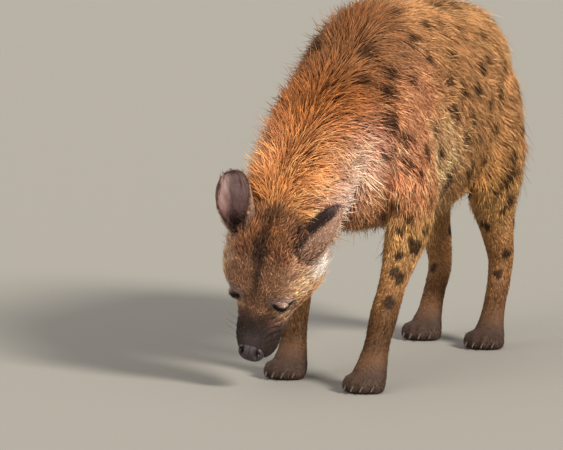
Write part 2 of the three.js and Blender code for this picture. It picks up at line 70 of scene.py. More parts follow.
def on_head(up, left, over):
    """A place on the head: the nose tip, plus so far up the face, to the left and out over the forehead."""
    return NOSE_TIP + np.multiply.outer(up, HEAD_UP) + np.multiply.outer(left, HEAD_LEFT) \
        + np.multiply.outer(over, HEAD_OVER)


eye_box = [np.array(corner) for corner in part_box("eye_left")]
OFFSET = sum(eye_box) / 2 * 1000 - on_head(EYE["up"], EYE["left"], EYE["over"])


def metres(points):
    """Drawing millimetres turned into the frame's metres: the offset added, then a thousandth."""
    return (np.asarray(points) + OFFSET) * 0.001


camera_ray = np.array([
    math.sin(CAMERA_TURN) * math.cos(CAMERA_RISE),
    -math.cos(CAMERA_TURN) * math.cos(CAMERA_RISE),
    math.sin(CAMERA_RISE),
])
target = metres([0, -280, 310])
camera_place = target + CAMERA_DISTANCE * camera_ray
camera_right = np.array([math.cos(CAMERA_TURN), math.sin(CAMERA_TURN), 0.0])
aside = (TARGET_PIXEL[0] - PICTURE[0] / 2) * CAMERA_DISTANCE / FOCAL_PIXELS
aim = target - aside * camera_right
lens = bpy.data.cameras.new("long_lens")
lens.sensor_width = SENSOR_MM
lens.lens = FOCAL_PIXELS * SENSOR_MM / PICTURE[0]
lens.clip_end = 200
camera = bpy.data.objects.new("camera", lens)
bpy.context.scene.collection.objects.link(camera)
camera.location = camera_place
camera.rotation_euler = Vector(aim - camera_place).to_track_quat("-Z", "Y").to_euler()
bpy.context.scene.camera = camera

# Body form: the trunk, neck, head, jaw, legs and tail are tubes of oval rings along the skeleton, as in the
# solids. They also tell, for any place, how far along its part it lies and at what angle round it.

# Each row: the place along the back, the top, the underside and the half width.
TRUNK = np.array([
    [-404, 512, 420, 44], [-384, 566, 366, 82], [-335, 654, 322, 112], [-265, 712, 308, 130],
    [-180, 732, 303, 138], [-80, 734, 294, 142], [20, 732, 294, 142], [120, 728, 304, 136],
    [210, 720, 328, 126], [290, 706, 380, 112], [345, 682, 436, 92], [382, 646, 496, 62], [398, 612, 540, 30],
], float)
# Each row: the place up the face, the middle, the half width, and the reach over and under the middle.
SKULL = np.array([
    [0, 1, 19, 15, 14], [5, 0, 30, 25, 21], [20, -1, 37, 33, 27], [50, -2, 42, 37, 33], [80, -3, 47, 41, 48],
    [108, -4, 58, 49, 70], [135, -6, 77, 60, 92], [165, -8, 94, 68, 108], [200, -12, 99, 74, 112],
    [235, -20, 93, 76, 96], [268, -32, 70, 66, 70], [290, -42, 38, 40, 38],
], float)
JAW = np.array([
    [9, -30, 12, 14, 8], [16, -33, 23, 22, 17], [42, -41, 33, 28, 25], [78, -52, 40, 28, 31],
    [112, -66, 46, 28, 34], [142, -78, 42, 22, 30],
], float)
# A line gives places, and its girth the half width and the reach over and under the line at each of them.
NECK_LINE = [on_head(205, 0, -30), on_head(240, 0, -48), [-58, -430, 380], [-38, -396, 446],
             [-18, -350, 504], [-4, -292, 548], [0, -220, 574], [0, -160, 586]]
NECK_GIRTH = [[60, 60, 60], [80, 74, 84], [92, 86, 100], [98, 98, 116], [104, 110, 132], [106, 122, 146],
              [92, 120, 136], [50, 66, 80]]
TAIL_LINE = [[0, 416, 330], [0, 418, 346], [0, 428, 396], [0, 434, 456], [0, 430, 516], [0, 416, 576],
             [0, 384, 628], [0, 336, 648]]
TAIL_GIRTH = [[8, 8, 8], [17, 17, 17], [28, 28, 28], [28, 28, 28], [23, 23, 23], [23, 23, 23], [28, 28, 28],
              [28, 28, 28]]
FORELEG_LEFT = [[96, -416, 0], [96, -416, 24], [98, -402, 56], [101, -386, 96], [104, -364, 142],
                [107, -328, 200], [109, -286, 262], [110, -246, 330], [108, -240, 410], [98, -252, 500],
                [80, -250, 590], [56, -240, 670]]
FORELEG_RIGHT = [[-122, -306, 0], [-122, -306, 24], [-122, -296, 56], [-121, -288, 100], [-120, -280, 150],
                 [-118, -264, 215], [-116, -240, 280], [-112, -226, 340], [-110, -236, 420],
                 [-98, -250, 505], [-80, -250, 590], [-56, -240, 670]]
HINDLEG_LEFT = [[86, 250, 0], [86, 250, 22], [86, 262, 52], [87, 282, 100], [88, 300, 146], [90, 300, 188],
                [92, 280, 236], [94, 254, 300], [95, 244, 370], [92, 252, 450], [80, 266, 540],
                [56, 276, 620]]
HINDLEG_RIGHT = [[-84, 322, 0], [-84, 322, 22], [-84, 338, 52], [-84, 366, 98], [-85, 394, 142],
                 [-88, 396, 186], [-92, 384, 236], [-95, 346, 300], [-96, 296, 370], [-92, 268, 450],
                 [-80, 266, 540], [-56, 276, 620]]
FORELEG_GIRTH = [[33, 46, 36], [37, 48, 38], [33, 32, 30], [28, 27, 29], [30, 31, 32], [29, 33, 34],
                 [36, 44, 46], [42, 66, 64], [44, 88, 80], [44, 86, 80], [40, 70, 72], [28, 42, 50]]
HINDLEG_GIRTH = [[31, 44, 34], [35, 46, 36], [30, 29, 27], [26, 25, 25], [27, 28, 31], [29, 35, 35],
                 [35, 42, 42], [44, 60, 58], [50, 84, 84], [50, 98, 98], [46, 90, 84], [34, 60, 52]]
STATIONS = 72
BATCH = 20000
RING_EDGE = {"full": 1.02, "fade": 0.16}


def unit(vectors):
    """Each vector divided by its length."""
    return vectors / np.maximum(np.linalg.norm(vectors, axis=-1, keepdims=True), 1e-9)


def through(stops, values, s):
    """The cubic curve through values at the stops. Its slope at a stop is that of the line between the
    two neighbours."""
    last = len(stops) - 1
    i = np.searchsorted(stops[1:last], s)
    span = (stops[i + 1] - stops[i])[:, None]
    f = np.clip((s - stops[i])[:, None] / span, 0, 1)
    after = np.minimum(np.arange(last + 1) + 1, last)
    before = np.maximum(np.arange(last + 1) - 1, 0)
    slope = (values[after] - values[before]) / (stops[after] - stops[before])[:, None]
    rise = f * f * (3 - 2 * f)
    return values[i] * (1 - rise) + values[i + 1] * rise \
        + slope[i] * span * f * (1 - f) ** 2 - slope[i + 1] * span * f * f * (1 - f)


class Tube:
    """Oval rings along a smooth line. Distance s runs along the line, and angle a turns round it from the
    animal's left, over the forehead or back."""

    def __init__(self, line, girth, fixed=None, lateral=(1, 0, 0), square=2.0, bumps=()):
        self.line = np.array(line, float)
        self.girth = np.array(girth, float)
        self.fixed = fixed
        self.lateral = np.array(lateral, float)
        self.square = square
        self.bumps = bumps
        steps = np.linalg.norm(np.diff(self.line, axis=0), axis=1)
        self.stops = np.concatenate([[0], np.cumsum(steps)])
        self.length = self.stops[-1]
        self.s = np.linspace(0, self.length, STATIONS)
        self.middle, self.side, self.over, self.ahead = self.frame(self.s)
        self.reach = through(self.stops, self.girth, self.s)

    def frame(self, s):
        """The line's point at s, with the directions to the side, over and ahead."""
        middle = through(self.stops, self.line, s)
        if self.fixed is None:
            further = through(self.stops, self.line, np.minimum(s + 2, self.length))
            ahead = unit(further - through(self.stops, self.line, np.maximum(s - 2, 0)))
        else:
            ahead = np.broadcast_to(np.array(self.fixed, float), middle.shape)
        side = unit(self.lateral - ahead * (ahead @ self.lateral)[:, None])
        return middle, side, np.cross(side, ahead), ahead

    def point(self, s, a, grow=0.0):
        """The line's point, plus the ring's reach times the powered cosine aside and sine over."""
        s, a = (each.ravel() for each in np.broadcast_arrays(np.asarray(s, float), a))
        middle, side, over, _ = self.frame(s)
        reach = through(self.stops, self.girth, s)
        power = 2 / self.square
        c = np.sign(np.cos(a)) * np.abs(np.cos(a)) ** power
        d = np.sign(np.sin(a)) * np.abs(np.sin(a)) ** power
        swell = np.full(len(s), float(grow))
        for at, angle, long, wide, high in self.bumps:
            turn = np.arctan2(np.sin(a - angle), np.cos(a - angle)) / wide
            swell += high * np.exp(-((s - at) / long) ** 2 - turn ** 2)
        tall = np.where(np.sin(a) > 0, reach[:, 1], reach[:, 2])
        return middle + side * (c * (reach[:, 0] + swell))[:, None] + over * (d * (tall + swell))[:, None]

    def mesh(self, rings, sides, grow):
        """A closed tube of rings, with a hub at each end."""
        s = np.linspace(0, self.length, rings)[:, None]
        a = np.linspace(0, 2 * np.pi, sides, endpoint=False)[None, :]
        return loft(self.point(s, a, grow).reshape(rings, sides, 3))


def loft(rings):
    """Triangles between each ring of points and the next, and from a hub in the middle of each end ring,
    turned outwards by the sign of their volume."""
    rows, sides, _ = rings.shape
    here = (np.arange(rows - 1)[:, None] * sides + np.arange(sides)).ravel()
    beside = (np.arange(rows - 1)[:, None] * sides + (np.arange(sides) + 1) % sides).ravel()
    first = np.arange(sides)
    second = (first + 1) % sides
    low = np.full(sides, rows * sides)
    top = (rows - 1) * sides
    faces = np.concatenate([
        np.stack([here, beside + sides, beside], 1), np.stack([here, here + sides, beside + sides], 1),
        np.stack([low, first, second], 1), np.stack([low + 1, top + second, top + first], 1),
    ])
    points = np.concatenate([rings.reshape(-1, 3), [rings[0].mean(0), rings[-1].mean(0)]])
    a, b, c = (points[faces[:, k]] - points.mean(0) for k in range(3))
    inside_out = (np.cross(a, b) * c).sum() < 0
    return points, faces[:, ::-1] if inside_out else faces


def joined(shapes):
    """Several pairs of points and triangles as one pair."""
    starts = np.cumsum([0] + [len(points) for points, _ in shapes[:-1]])
    faces = [triangles + start for (_, triangles), start in zip(shapes, starts)]
    return np.concatenate([points for points, _ in shapes]), np.concatenate(faces)


EYE_TURN = math.atan2(EYE["over"] + 6, EYE["left"])
SIDE_BUMPS = [
    (EYE["up"] - 8, EYE_TURN, 22, 0.36, -5), (EYE["up"] + 24, EYE_TURN + 0.25, 18, 0.4, 5),
    (40, -0.5, 40, 0.4, 3),
]
head_bumps = [(at, angle, *size) for at, turn, *size in SIDE_BUMPS for angle in (turn, np.pi - turn)]
head_bumps += [(250, np.pi / 2, 50, 0.35, 6), (60, np.pi / 2, 40, 0.5, -3)]
torso = Tube(
    np.stack([TRUNK[:, 0] * 0, TRUNK[:, 0], (TRUNK[:, 1] + TRUNK[:, 2]) / 2], 1),
    np.stack([TRUNK[:, 3]] + [(TRUNK[:, 1] - TRUNK[:, 2]) / 2] * 2, 1), fixed=(0, 1, 0), square=2.15)
head = Tube(on_head(SKULL[:, 0], 0 * SKULL[:, 0], SKULL[:, 1]), SKULL[:, 2:], lateral=HEAD_LEFT, square=2.25,
            bumps=head_bumps)
jaw = Tube(on_head(JAW[:, 0], 0 * JAW[:, 0], JAW[:, 1]), JAW[:, 2:], lateral=HEAD_LEFT, square=2.4)
neck = Tube(NECK_LINE, NECK_GIRTH)
tail = Tube(TAIL_LINE, TAIL_GIRTH)
legs = {
    "foreleg_left": Tube(FORELEG_LEFT, FORELEG_GIRTH, square=2.2),
    "foreleg_right": Tube(FORELEG_RIGHT, FORELEG_GIRTH, square=2.2),
    "hindleg_left": Tube(HINDLEG_LEFT, HINDLEG_GIRTH, square=2.2),
    "hindleg_right": Tube(HINDLEG_RIGHT, HINDLEG_GIRTH, square=2.2),
}
tubes = {"torso": torso, "neck": neck, "head": head, "jaw": jaw, **legs, "tail": tail}
part_names = list(tubes)
PART = {name: number for number, name in enumerate(part_names)}
HEAD_PARTS = [PART["head"], PART["jaw"]]
FORELEGS = slice(PART["foreleg_left"], PART["foreleg_right"] + 1)
LEGS = slice(PART["foreleg_left"], PART["hindleg_right"] + 1)


def places(points):
    """For each tube, how far along it each point lies, at what angle, and which ways lead ahead and down
    there, all from the nearest ring. Its share in the point falls off as a bell outside its surface."""
    points = np.asarray(points, float)
    along = np.zeros((len(tubes), len(points)))
    angle = np.zeros_like(along)
    share = np.zeros_like(along)
    flow = np.zeros((len(tubes), len(points), 3))
    fall = np.zeros_like(flow)
    for number, tube in enumerate(tubes.values()):
        for start in range(0, len(points), BATCH):
            some = slice(start, start + BATCH)
            near = ((points[some, None] - tube.middle[None]) ** 2).sum(2).argmin(1)
            away = points[some] - tube.middle[near]
            x = (away * tube.side[near]).sum(1)
            y = (away * tube.over[near]).sum(1)
            z = (away * tube.ahead[near]).sum(1)
            wide = tube.reach[near, 0]
            tall = np.where(y > 0, tube.reach[near, 1], tube.reach[near, 2])
            out = np.sqrt((x / wide) ** 2 + (y / tall) ** 2 + (z / wide) ** 2 * 0.5)
            along[number, some] = np.clip(tube.s[near] + z, 0, tube.length)
            angle[number, some] = np.arctan2(y / tall, x / wide)
            past = np.maximum(out - RING_EDGE["full"], 0) / RING_EDGE["fade"]
            share[number, some] = np.exp(-past ** 2) + 1e-9
            flow[number, some] = tube.ahead[near]
            a = angle[number, some, None]
            fall[number, some] = np.clip(np.cos(a) / 0.4, -1, 1) * np.sin(a) * tube.side[near] \
                - np.abs(np.cos(a)) * tube.over[near]
    return {"along": along, "angle": angle, "share": share / share.sum(0), "ahead": flow, "fall": fall}


# Skin: one surface over the whole body. The tubes, each drawn in by the depth of coat that stands on it, and
# the toes are joined by remeshing and smoothed where the limbs leave the trunk, and the face is divided finer
# for its folds.
COAT_DEPTH = {"torso": 7, "neck": 8, "head": 3.5, "jaw": 2.5, "foreleg": 4, "hindleg": 4, "tail": 9}
TUBE_RINGS = 80
TUBE_SIDES = 64
SKIN_VOXEL = 0.0056
SOLE_HEIGHT = 0.5
TOE = {"apart": 19.5, "inner": 42, "outer": 31, "middle": 14.0, "radii": [24, 14, 23]}
TOE_AXES = np.array([[0, -1, 0], [1, 0, 0], [0, 0, 1]], float)
SMOOTHING = {"rounds": 14, "least": 0.18, "more": 0.36, "most": 0.5}
FACE_ROOM = {"up": (-20, 190), "left": 120, "over": (-95, 110)}


def ball(middle, axes, radii, rows=14, sides=20):
    """An oval ball: a circle swept from pole to pole, stretched along three directions about a middle."""
    rise = np.linspace(0.02, np.pi - 0.02, rows)[:, None]
    turn = np.linspace(0, 2 * np.pi, sides, endpoint=False)[None, :]
    circles = np.stack([np.sin(rise) * np.cos(turn), np.sin(rise) * np.sin(turn), np.cos(rise) + 0 * turn], 2)
    return loft(np.asarray(middle) + (circles * radii) @ np.array(axes, float))


def toe_middles(leg):
    """Four toes side by side in front of the foot, the two middle ones furthest forward."""
    apart = np.arange(4) - 1.5
    forward = np.where(np.abs(apart) < 1, TOE["inner"], TOE["outer"])
    return leg.middle[0] + np.stack([apart * TOE["apart"], -forward, np.full(4, TOE["middle"])], 1)


def lay_mesh(name, points, faces):
    """A mesh of triangles at the given points, in metres."""
    mesh = bpy.data.meshes.new(name)
    mesh.vertices.add(len(points))
    mesh.vertices.foreach_set("co", np.ascontiguousarray(points, np.float32).ravel())
    mesh.loops.add(faces.size)
    mesh.loops.foreach_set("vertex_index", np.ascontiguousarray(faces, np.int32).ravel())
    mesh.polygons.add(len(faces))
    mesh.polygons.foreach_set("loop_start", np.arange(0, faces.size, 3, dtype=np.int32))
    mesh.polygons.foreach_set("use_smooth", np.ones(len(faces), bool))
    mesh.update(calc_edges=True)
    return mesh


def lay_piece(name, mesh, material, replaced=()):
    """A mesh as a piece of the animal: shown with its material, riding on the body, with the parts it
    replaces hidden.
    """
    piece = bpy.data.objects.new(name, mesh)
    bpy.context.scene.collection.objects.link(piece)
    mesh.materials.append(material)
    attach(piece, "root")
    if replaced:
        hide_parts(*replaced)


lumps = [tube.mesh(TUBE_RINGS, TUBE_SIDES, -COAT_DEPTH[name.split("_")[0]]) for name, tube in tubes.items()]
for leg in legs.values():
    lumps += [ball(middle, TOE_AXES, TOE["radii"]) for middle in toe_middles(leg)]
rough_points, rough_faces = joined(lumps)
rough_points[:, 2] = np.maximum(rough_points[:, 2], SOLE_HEIGHT)
rough = bpy.data.objects.new("rough_skin", lay_mesh("rough_skin", metres(rough_points), rough_faces))
bpy.context.scene.collection.objects.link(rough)
remesh = rough.modifiers.new("remesh", "REMESH")
remesh.mode = "VOXEL"
remesh.voxel_size = SKIN_VOXEL
remesh.adaptivity = 0
grid = bpy.data.meshes.new_from_object(rough.evaluated_get(bpy.context.evaluated_depsgraph_get()))
bpy.data.objects.remove(rough)


def mesh_arrays(mesh):
    """A mesh's points, its normals and its triangles, in drawing millimetres."""
    mesh.calc_loop_triangles()
    points = np.empty(len(mesh.vertices) * 3, np.float32)
    mesh.vertices.foreach_get("co", points)
    normals = np.empty(len(mesh.vertices) * 3, np.float32)
    mesh.vertex_normals.foreach_get("vector", normals)
    faces = np.empty(len(mesh.loop_triangles) * 3, np.int32)
    mesh.loop_triangles.foreach_get("vertices", faces)
    drawn = points.reshape(-1, 3).astype(float) * 1000 - OFFSET
    return drawn, normals.reshape(-1, 3).astype(float), faces.reshape(-1, 3)


def smoothed(mesh, rounds, amount):
    """Each point moved towards the mean of its neighbours, by its own amount, round after round."""
    edges = np.empty(len(mesh.edges) * 2, np.int32)
    mesh.edges.foreach_get("vertices", edges)
    a, b = edges.reshape(-1, 2).T
    points = mesh_arrays(mesh)[0]
    count = np.bincount(np.concatenate([a, b]), minlength=len(points))[:, None]
    for _ in range(rounds):
        total = np.stack([
            np.bincount(a, points[b, k], len(points)) + np.bincount(b, points[a, k], len(points))
            for k in range(3)
        ], 1)
        points = points + amount[:, None] * (total / count - points)
    return points


grid_points = mesh_arrays(grid)[0]
grid_share = places(grid_points)["share"]
on_trunk = grid_share[[PART["torso"], PART["neck"]]].sum(0)
upper_leg = np.clip((grid_points[:, 2] - 200) / 120, 0, 1)
smoothing = SMOOTHING["least"] + SMOOTHING["more"] * np.maximum(on_trunk, upper_leg * grid_share[LEGS].sum(0))
grid_points = smoothed(grid, SMOOTHING["rounds"], np.minimum(smoothing, SMOOTHING["most"]))
grid.vertices.foreach_set("co", metres(grid_points).astype(np.float32).ravel())


def head_places(points):
    """How far up the face, to the left and out over the forehead each point lies, in that order."""
    away = points - NOSE_TIP
    return away @ HEAD_UP, away @ HEAD_LEFT, away @ HEAD_OVER


def divided(mesh, chosen):
    """The mesh with every edge between chosen points cut in two."""
    work = bmesh.new()
    work.from_mesh(mesh)
    edges = [edge for edge in work.edges if chosen[edge.verts[0].index] and chosen[edge.verts[1].index]]
    bmesh.ops.subdivide_edges(work, edges=edges, cuts=1, use_grid_fill=True)
    bmesh.ops.triangulate(work, faces=work.faces)
    work.to_mesh(mesh)
    work.free()
    return mesh


up, left, over = head_places(grid_points)
on_face = (up > FACE_ROOM["up"][0]) & (up < FACE_ROOM["up"][1]) & (np.abs(left) < FACE_ROOM["left"]) \
    & (over > FACE_ROOM["over"][0]) & (over < FACE_ROOM["over"][1])
grid = divided(grid, on_face)
skin_points, skin_normals, skin_faces = mesh_arrays(grid)

# Face: brow and cheek bones, the hollows beside the bridge of the nose, full upper lips, the mouth line,
# the furrow of the forehead and the slanting wrinkles of the muzzle, raised or sunk in the skin. A form has a
# place up the face, aside and over it, a size in these three directions, and a height.
FACE_FORMS = {
    "brow": ((152, 40, 44), (13, 20, 20), 4.5),
    "orbit": ((126, 52, 30), (26, 22, 26), 7),
    "muzzle": ((58, 40, 4), (44, 18, 30), 5),
    "cheekbone": ((146, 76, 2), (30, 18, 30), 5),
    "temple": ((208, 46, 52), (36, 24, 30), 5),
    "lip": ((36, 35, -8), (28, 14, 20), 4.5),
    "bridge side": ((84, 33, 26), (34, 12, 14), -4.5),
    "tear trough": ((112, 36, 34), (9, 8, 12), -3.5),
    "jowl": ((118, 50, -50), (34, 16, 26), 4),
}
WRINKLE = {"apart": 8.6, "deep": 3.4, "up": 68, "left": 38, "long": 30, "wide": 20}
MOUTH = {"over": -21, "drop": 0.2, "deep": 3.2, "wide": 2.6, "end": 100}
FURROW = {"deep": 2.4, "wide": 7}


def bell(x):
    """The bell curve, e to the minus x squared."""
    return np.exp(-x * x)


def step(low, high, x):
    """0 below low, 1 above high, and a smooth cubic rise between. With low above high it falls instead."""
    t = np.clip((x - low) / (high - low), 0, 1)
    return t * t * (3 - 2 * t)


def mound(tall, place, size, at):
    """A smooth form on the head: its height times a bell in each of the three directions."""
    (up, left, over), (at_up, at_left, at_over), (long, wide, deep) = at, place, size
    return tall * bell((up - at_up) / long) * bell((left - at_left) / wide) * bell((over - at_over) / deep)


def creased(up, left, over):
    """The muzzle's wrinkles: narrow bells at even steps across a slanting line, strongest on its side."""
    aside = np.abs(left)
    slant = 0.72 * up - 0.69 * aside + 1.5 * np.sin(0.11 * (up + aside))
    near = bell((up - WRINKLE["up"]) / WRINKLE["long"]) * bell((aside - WRINKLE["left"]) / WRINKLE["wide"])
    return near * step(-25, -5, over) * bell(np.sin(np.pi * slant / WRINKLE["apart"]) / 0.36)


def face_relief(points):
    """How far the face's forms stand out: a bell for each bone, lip and hollow, less the wrinkles and the
    narrow bells across the mouth line and the furrow."""
    up, left, over = head_places(points)
    aside = np.abs(left)
    high = np.zeros(len(points))
    for place, size, tall in FACE_FORMS.values():
        high += mound(tall, place, size, (up, aside, over))
    high -= WRINKLE["deep"] * creased(up, left, over)
    lips = over - MOUTH["over"] + MOUTH["drop"] * np.maximum(up, 0)
    mouth = step(MOUTH["end"], MOUTH["end"] - 20, up) * step(-25, -5, up)
    high -= MOUTH["deep"] * mouth * bell(lips / MOUTH["wide"])
    high += 0.5 * MOUTH["deep"] * mouth * bell((lips - 6) / 5)
    high -= FURROW["deep"] * bell(left / FURROW["wide"]) * step(120, 150, up) * step(235, 200, up) \
        * step(0, 30, over)
    return high * step(270, 235, up)


in_head = places(skin_points)["share"][HEAD_PARTS].sum(0)
skin_points = skin_points + skin_normals * (face_relief(skin_points) * step(0.2, 0.8, in_head))[:, None]

# Eyelids: the eyes are nearly shut. A full upper lid and a thinner lower lid wrap each eyeball, meet at the
# corners, and leave a narrow slit that sags in the middle. The skin round the eye swells over them as a dome.
LID = {"turn": 74, "sag": 42, "corner": 8, "gap": 6.0, "upper": 84, "lower": 80, "margin": 1.4,
       "upper_puff": 2.4, "lower_puff": 1.2, "sunk": -1.0, "tilt": 20, "wall": 0.35}
DOME = {"upper": 4.6, "lower": 3.4, "corner": 2.6, "sunk": 1, "soft": 1.2, "from": 26, "to": 34}
SLIT = {"half": 6, "across": 0.95, "deep": 0.5}
LID_COLUMNS = 34
LID_ROWS = 14


def eye_axes(sign):
    """The eye's middle, and its directions to the outer corner, towards the brow and straight out."""
    out = unit(0.8 * sign * HEAD_LEFT + 0.6 * HEAD_OVER)
    along = unit(HEAD_UP - out * (HEAD_UP @ out))
    outer = sign * np.cross(along, out)
    tilt = math.radians(LID["tilt"])
    corner = math.cos(tilt) * outer + math.sin(tilt) * along
    brow = math.cos(tilt) * along - math.sin(tilt) * outer
    return on_head(EYE["up"], sign * EYE["left"], EYE["over"]), corner, brow, out


def eye_direction(axes, turn, rise):
    """The direction that turns so many degrees to the outer corner and rises so many to the brow."""
    _, corner, brow, out = axes
    turn, rise = np.radians(turn)[..., None], np.radians(rise)[..., None]
    return np.sin(turn) * np.cos(rise) * corner + np.sin(rise) * brow + np.cos(turn) * np.cos(rise) * out


def slit_rise(h):
    """How high the shut eye's line runs, from the inner corner at -1 to the outer at 1: it sags between."""
    return LID["corner"] + 2 * h - LID["sag"] * (1 - h * h)


def eye_angles(points, sign):
    """How far across the eye each point lies, -1 at the inner corner and 1 at the outer, how many degrees
    above the slit, and how far from the eye's middle."""
    middle, corner, brow, out = eye_axes(sign)
    away = points - middle
    h = np.degrees(np.arctan2(away @ corner, away @ out)) / LID["turn"]
    rise = np.degrees(np.arctan2(away @ brow, np.hypot(away @ corner, away @ out)))
    return h, rise - slit_rise(np.clip(h, -1, 1)), np.linalg.norm(away, axis=1)


def domed(points, sign):
    """The skin round an eye, pushed out to a smooth dome over the ball and drawn in along the slit. The
    greater of dome and skin is taken softly, as the logarithm of a sum of powers of e."""
    h, above, reach = eye_angles(points, sign)
    middle, _, _, out = eye_axes(sign)
    away = points - middle
    high = np.where(above > 0, DOME["upper"] * step(5, 30, above), DOME["lower"] * step(5, 26, -above))
    high = high - DOME["sunk"]
    dome = EYE["radius"] + high + (DOME["corner"] - high) * step(0.9, 1.2, np.abs(h))
    swollen = dome + DOME["soft"] * np.logaddexp(0, (reach - dome) / DOME["soft"])
    in_slit = (np.abs(above) < SLIT["half"]) & (np.abs(h) < SLIT["across"])
    swollen = np.where(in_slit, np.minimum(swollen, EYE["radius"] - SLIT["deep"]), swollen)
    near = step(DOME["to"], DOME["from"], reach) * step(-6, 2, away @ out)
    return points + away / reach[:, None] * ((swollen - reach) * near)[:, None]


def lid(sign, upper):
    """A lid: from the slit to its far edge over the ball, puffed in the middle by a sine with fine folds, and
    back along the ball as the inner wall."""
    axes = eye_axes(sign)
    h = np.linspace(-1, 1, LID_COLUMNS)[:, None]
    v = np.linspace(0, 1, LID_ROWS)[None, :]
    opening = np.sqrt(np.maximum(1 - h * h, 0.0004))
    way, reach = (1, LID["upper"]) if upper else (-1, LID["lower"])
    puff = LID["upper_puff"] if upper else LID["lower_puff"]
    margin = slit_rise(h) + way * LID["gap"] / 2 * opening
    rise = margin + (way * reach - margin) * v * opening ** 0.6
    radius = EYE["radius"] + LID["margin"] + puff * np.sin(np.pi * v ** 0.6) ** 0.8 * opening \
        + LID["sunk"] * v ** 3 + 0.35 * np.sin(v * 16) * (1 - v) * opening
    turn = LID["turn"] * h + 0 * v
    outside = axes[0] + radius[..., None] * eye_direction(axes, turn, rise)
    inside = axes[0] + (EYE["radius"] + LID["wall"]) * eye_direction(axes, turn, rise)
    return loft(np.concatenate([outside, inside[:, ::-1]], 1))


skin_points = domed(domed(skin_points, 1), -1)
lids = [lid(sign, upper) for sign in (1, -1) for upper in (True, False)]

# Ears: large rounded leaves, nearly a full tube at the root and opening into a cup, with faint ridges up the
# inside. The right one leans out and faces over the forehead. The left one faces inwards across the head, its
# root tucked in towards the skull. Each has its place, the way it leans and the way it faces.
EAR = {"long": 126, "half": 38, "wall": 4.2, "round": 9.0, "off": 0.75}
EAR_PLACES = {
    1: ((220, 97, 8), (0.9, 0.2, -0.06), (0, -1.0, 0.58)),
    -1: ((241, -60, 4), (0.9, -0.42, 0), (0, 0.02, 0.95)),
}
EAR_TUCK = {1: 20, -1: 0}
EAR_ROWS = 52
EAR_COLUMNS = 44


def ear_axes(sign):
    """The ear's root, and its directions up, across and the way it faces."""
    place, lean, faces = EAR_PLACES[sign]
    head_axes = np.array([HEAD_UP, HEAD_LEFT, HEAD_OVER])
    axis = unit(lean @ head_axes)
    facing = faces @ head_axes
    facing = unit(facing - axis * (facing @ axis))
    return on_head(*place), axis, np.cross(axis, facing), facing


def ear_ring(u):
    """At a share of the way up the ear: half the angle that its wall spans, and the wall's radius."""
    half = EAR["half"] * (0.42 + 1.5 * u - 1.02 * u * u) * np.sqrt(np.maximum(1 - u ** EAR["round"], 0.012))
    curl = np.radians(160 - 100 * u ** 0.9)
    return curl, half / np.sin(np.minimum(curl, np.pi / 2))


def ear_place(points, sign):
    """How far up its ear each point lies, how far from the middle to the rim, from -1 to 1, and how far
    inside the middle of the wall."""
    root, axis, across, facing = ear_axes(sign)
    u = np.clip((points - root) @ axis / EAR["long"], 0, 1)
    away = points - root + EAR_TUCK[sign] * ((1 - u) ** 3)[:, None] * sign * HEAD_LEFT
    curl, radius = ear_ring(u)
    x, y = away @ across, EAR["off"] * radius - away @ facing
    return u, np.arctan2(x, y) / curl, radius - np.hypot(x, y)


def ear(sign):
    """A curled leaf: each row is an arc, nearly closed at the root, open near the tip. The wall thins to
    the rim, and ridges on the inner face fade upwards."""
    root, axis, across, facing = ear_axes(sign)
    u = np.sin(np.linspace(0, np.pi / 2, EAR_ROWS))[:, None]
    j = np.linspace(-1, 1, EAR_COLUMNS)[None, :]
    curl, radius = ear_ring(u)
    a = curl * j
    wall = EAR["wall"] * (1.4 - 0.8 * u) / 2 * (1 - 0.6 * np.abs(j) ** 6)
    ridge = 1.1 * np.cos(j * 15 + 1.5 * u) * (1 - np.abs(j)) * step(1.0, 0.4, u)
    tuck = (EAR_TUCK[sign] * (1 - u) ** 3)[..., None] * sign * HEAD_LEFT

    def leaf(r):
        """One face of the wall: arcs of radius r round the ear's line."""
        return root - tuck + EAR["long"] * u[..., None] * axis + (r * np.sin(a))[..., None] * across \
            + (radius * EAR["off"] - r * np.cos(a))[..., None] * facing

    return loft(np.concatenate([leaf(radius + wall), leaf(radius - wall - ridge)[:, ::-1]], 1))


ears = [ear(1), ear(-1)]
BODY, LIDS, EARS = 0, 1, 2
shapes = [(skin_points, skin_faces)] + lids + ears
shape_kind = [BODY] + [LIDS] * len(lids) + [EARS] * len(ears)
skin_kind = np.concatenate([np.full(len(points), kind) for (points, _), kind in zip(shapes, shape_kind)])
skin_points, skin_faces = joined(shapes)
skin_mesh = lay_mesh("skin", metres(skin_points), skin_faces)
skin_points, skin_normals, skin_faces = mesh_arrays(skin_mesh)
ray_tree = BVHTree.FromPolygons(metres(skin_points).tolist(), skin_faces.tolist())


def seen_at(pixel):
    """Where the photograph's pixel falls on the skin, in drawing millimetres: the first point that the
    camera's ray meets."""
    turn = camera.rotation_euler.to_matrix()
    x, y = pixel[0] - PICTURE[0] / 2, PICTURE[1] / 2 - pixel[1]
    ray = turn @ Vector((x / FOCAL_PIXELS, y / FOCAL_PIXELS, -1))
    hit, _, _, _ = ray_tree.ray_cast(Vector(camera_place), ray.normalized())
    return None if hit is None else np.array(hit) * 1000 - OFFSET


def ripple(points, size, seed, waves=7):
    """Smooth noise between about -1 and 1: a mean of sines that run in random directions."""
    draw = np.random.default_rng(seed)
    ways = unit(draw.normal(size=(waves, 3))) * 2 * np.pi / (size * draw.uniform(0.7, 1.5, (waves, 1)))
    return np.sin(points @ ways.T + draw.uniform(0, 2 * np.pi, waves)).sum(1) / math.sqrt(waves)
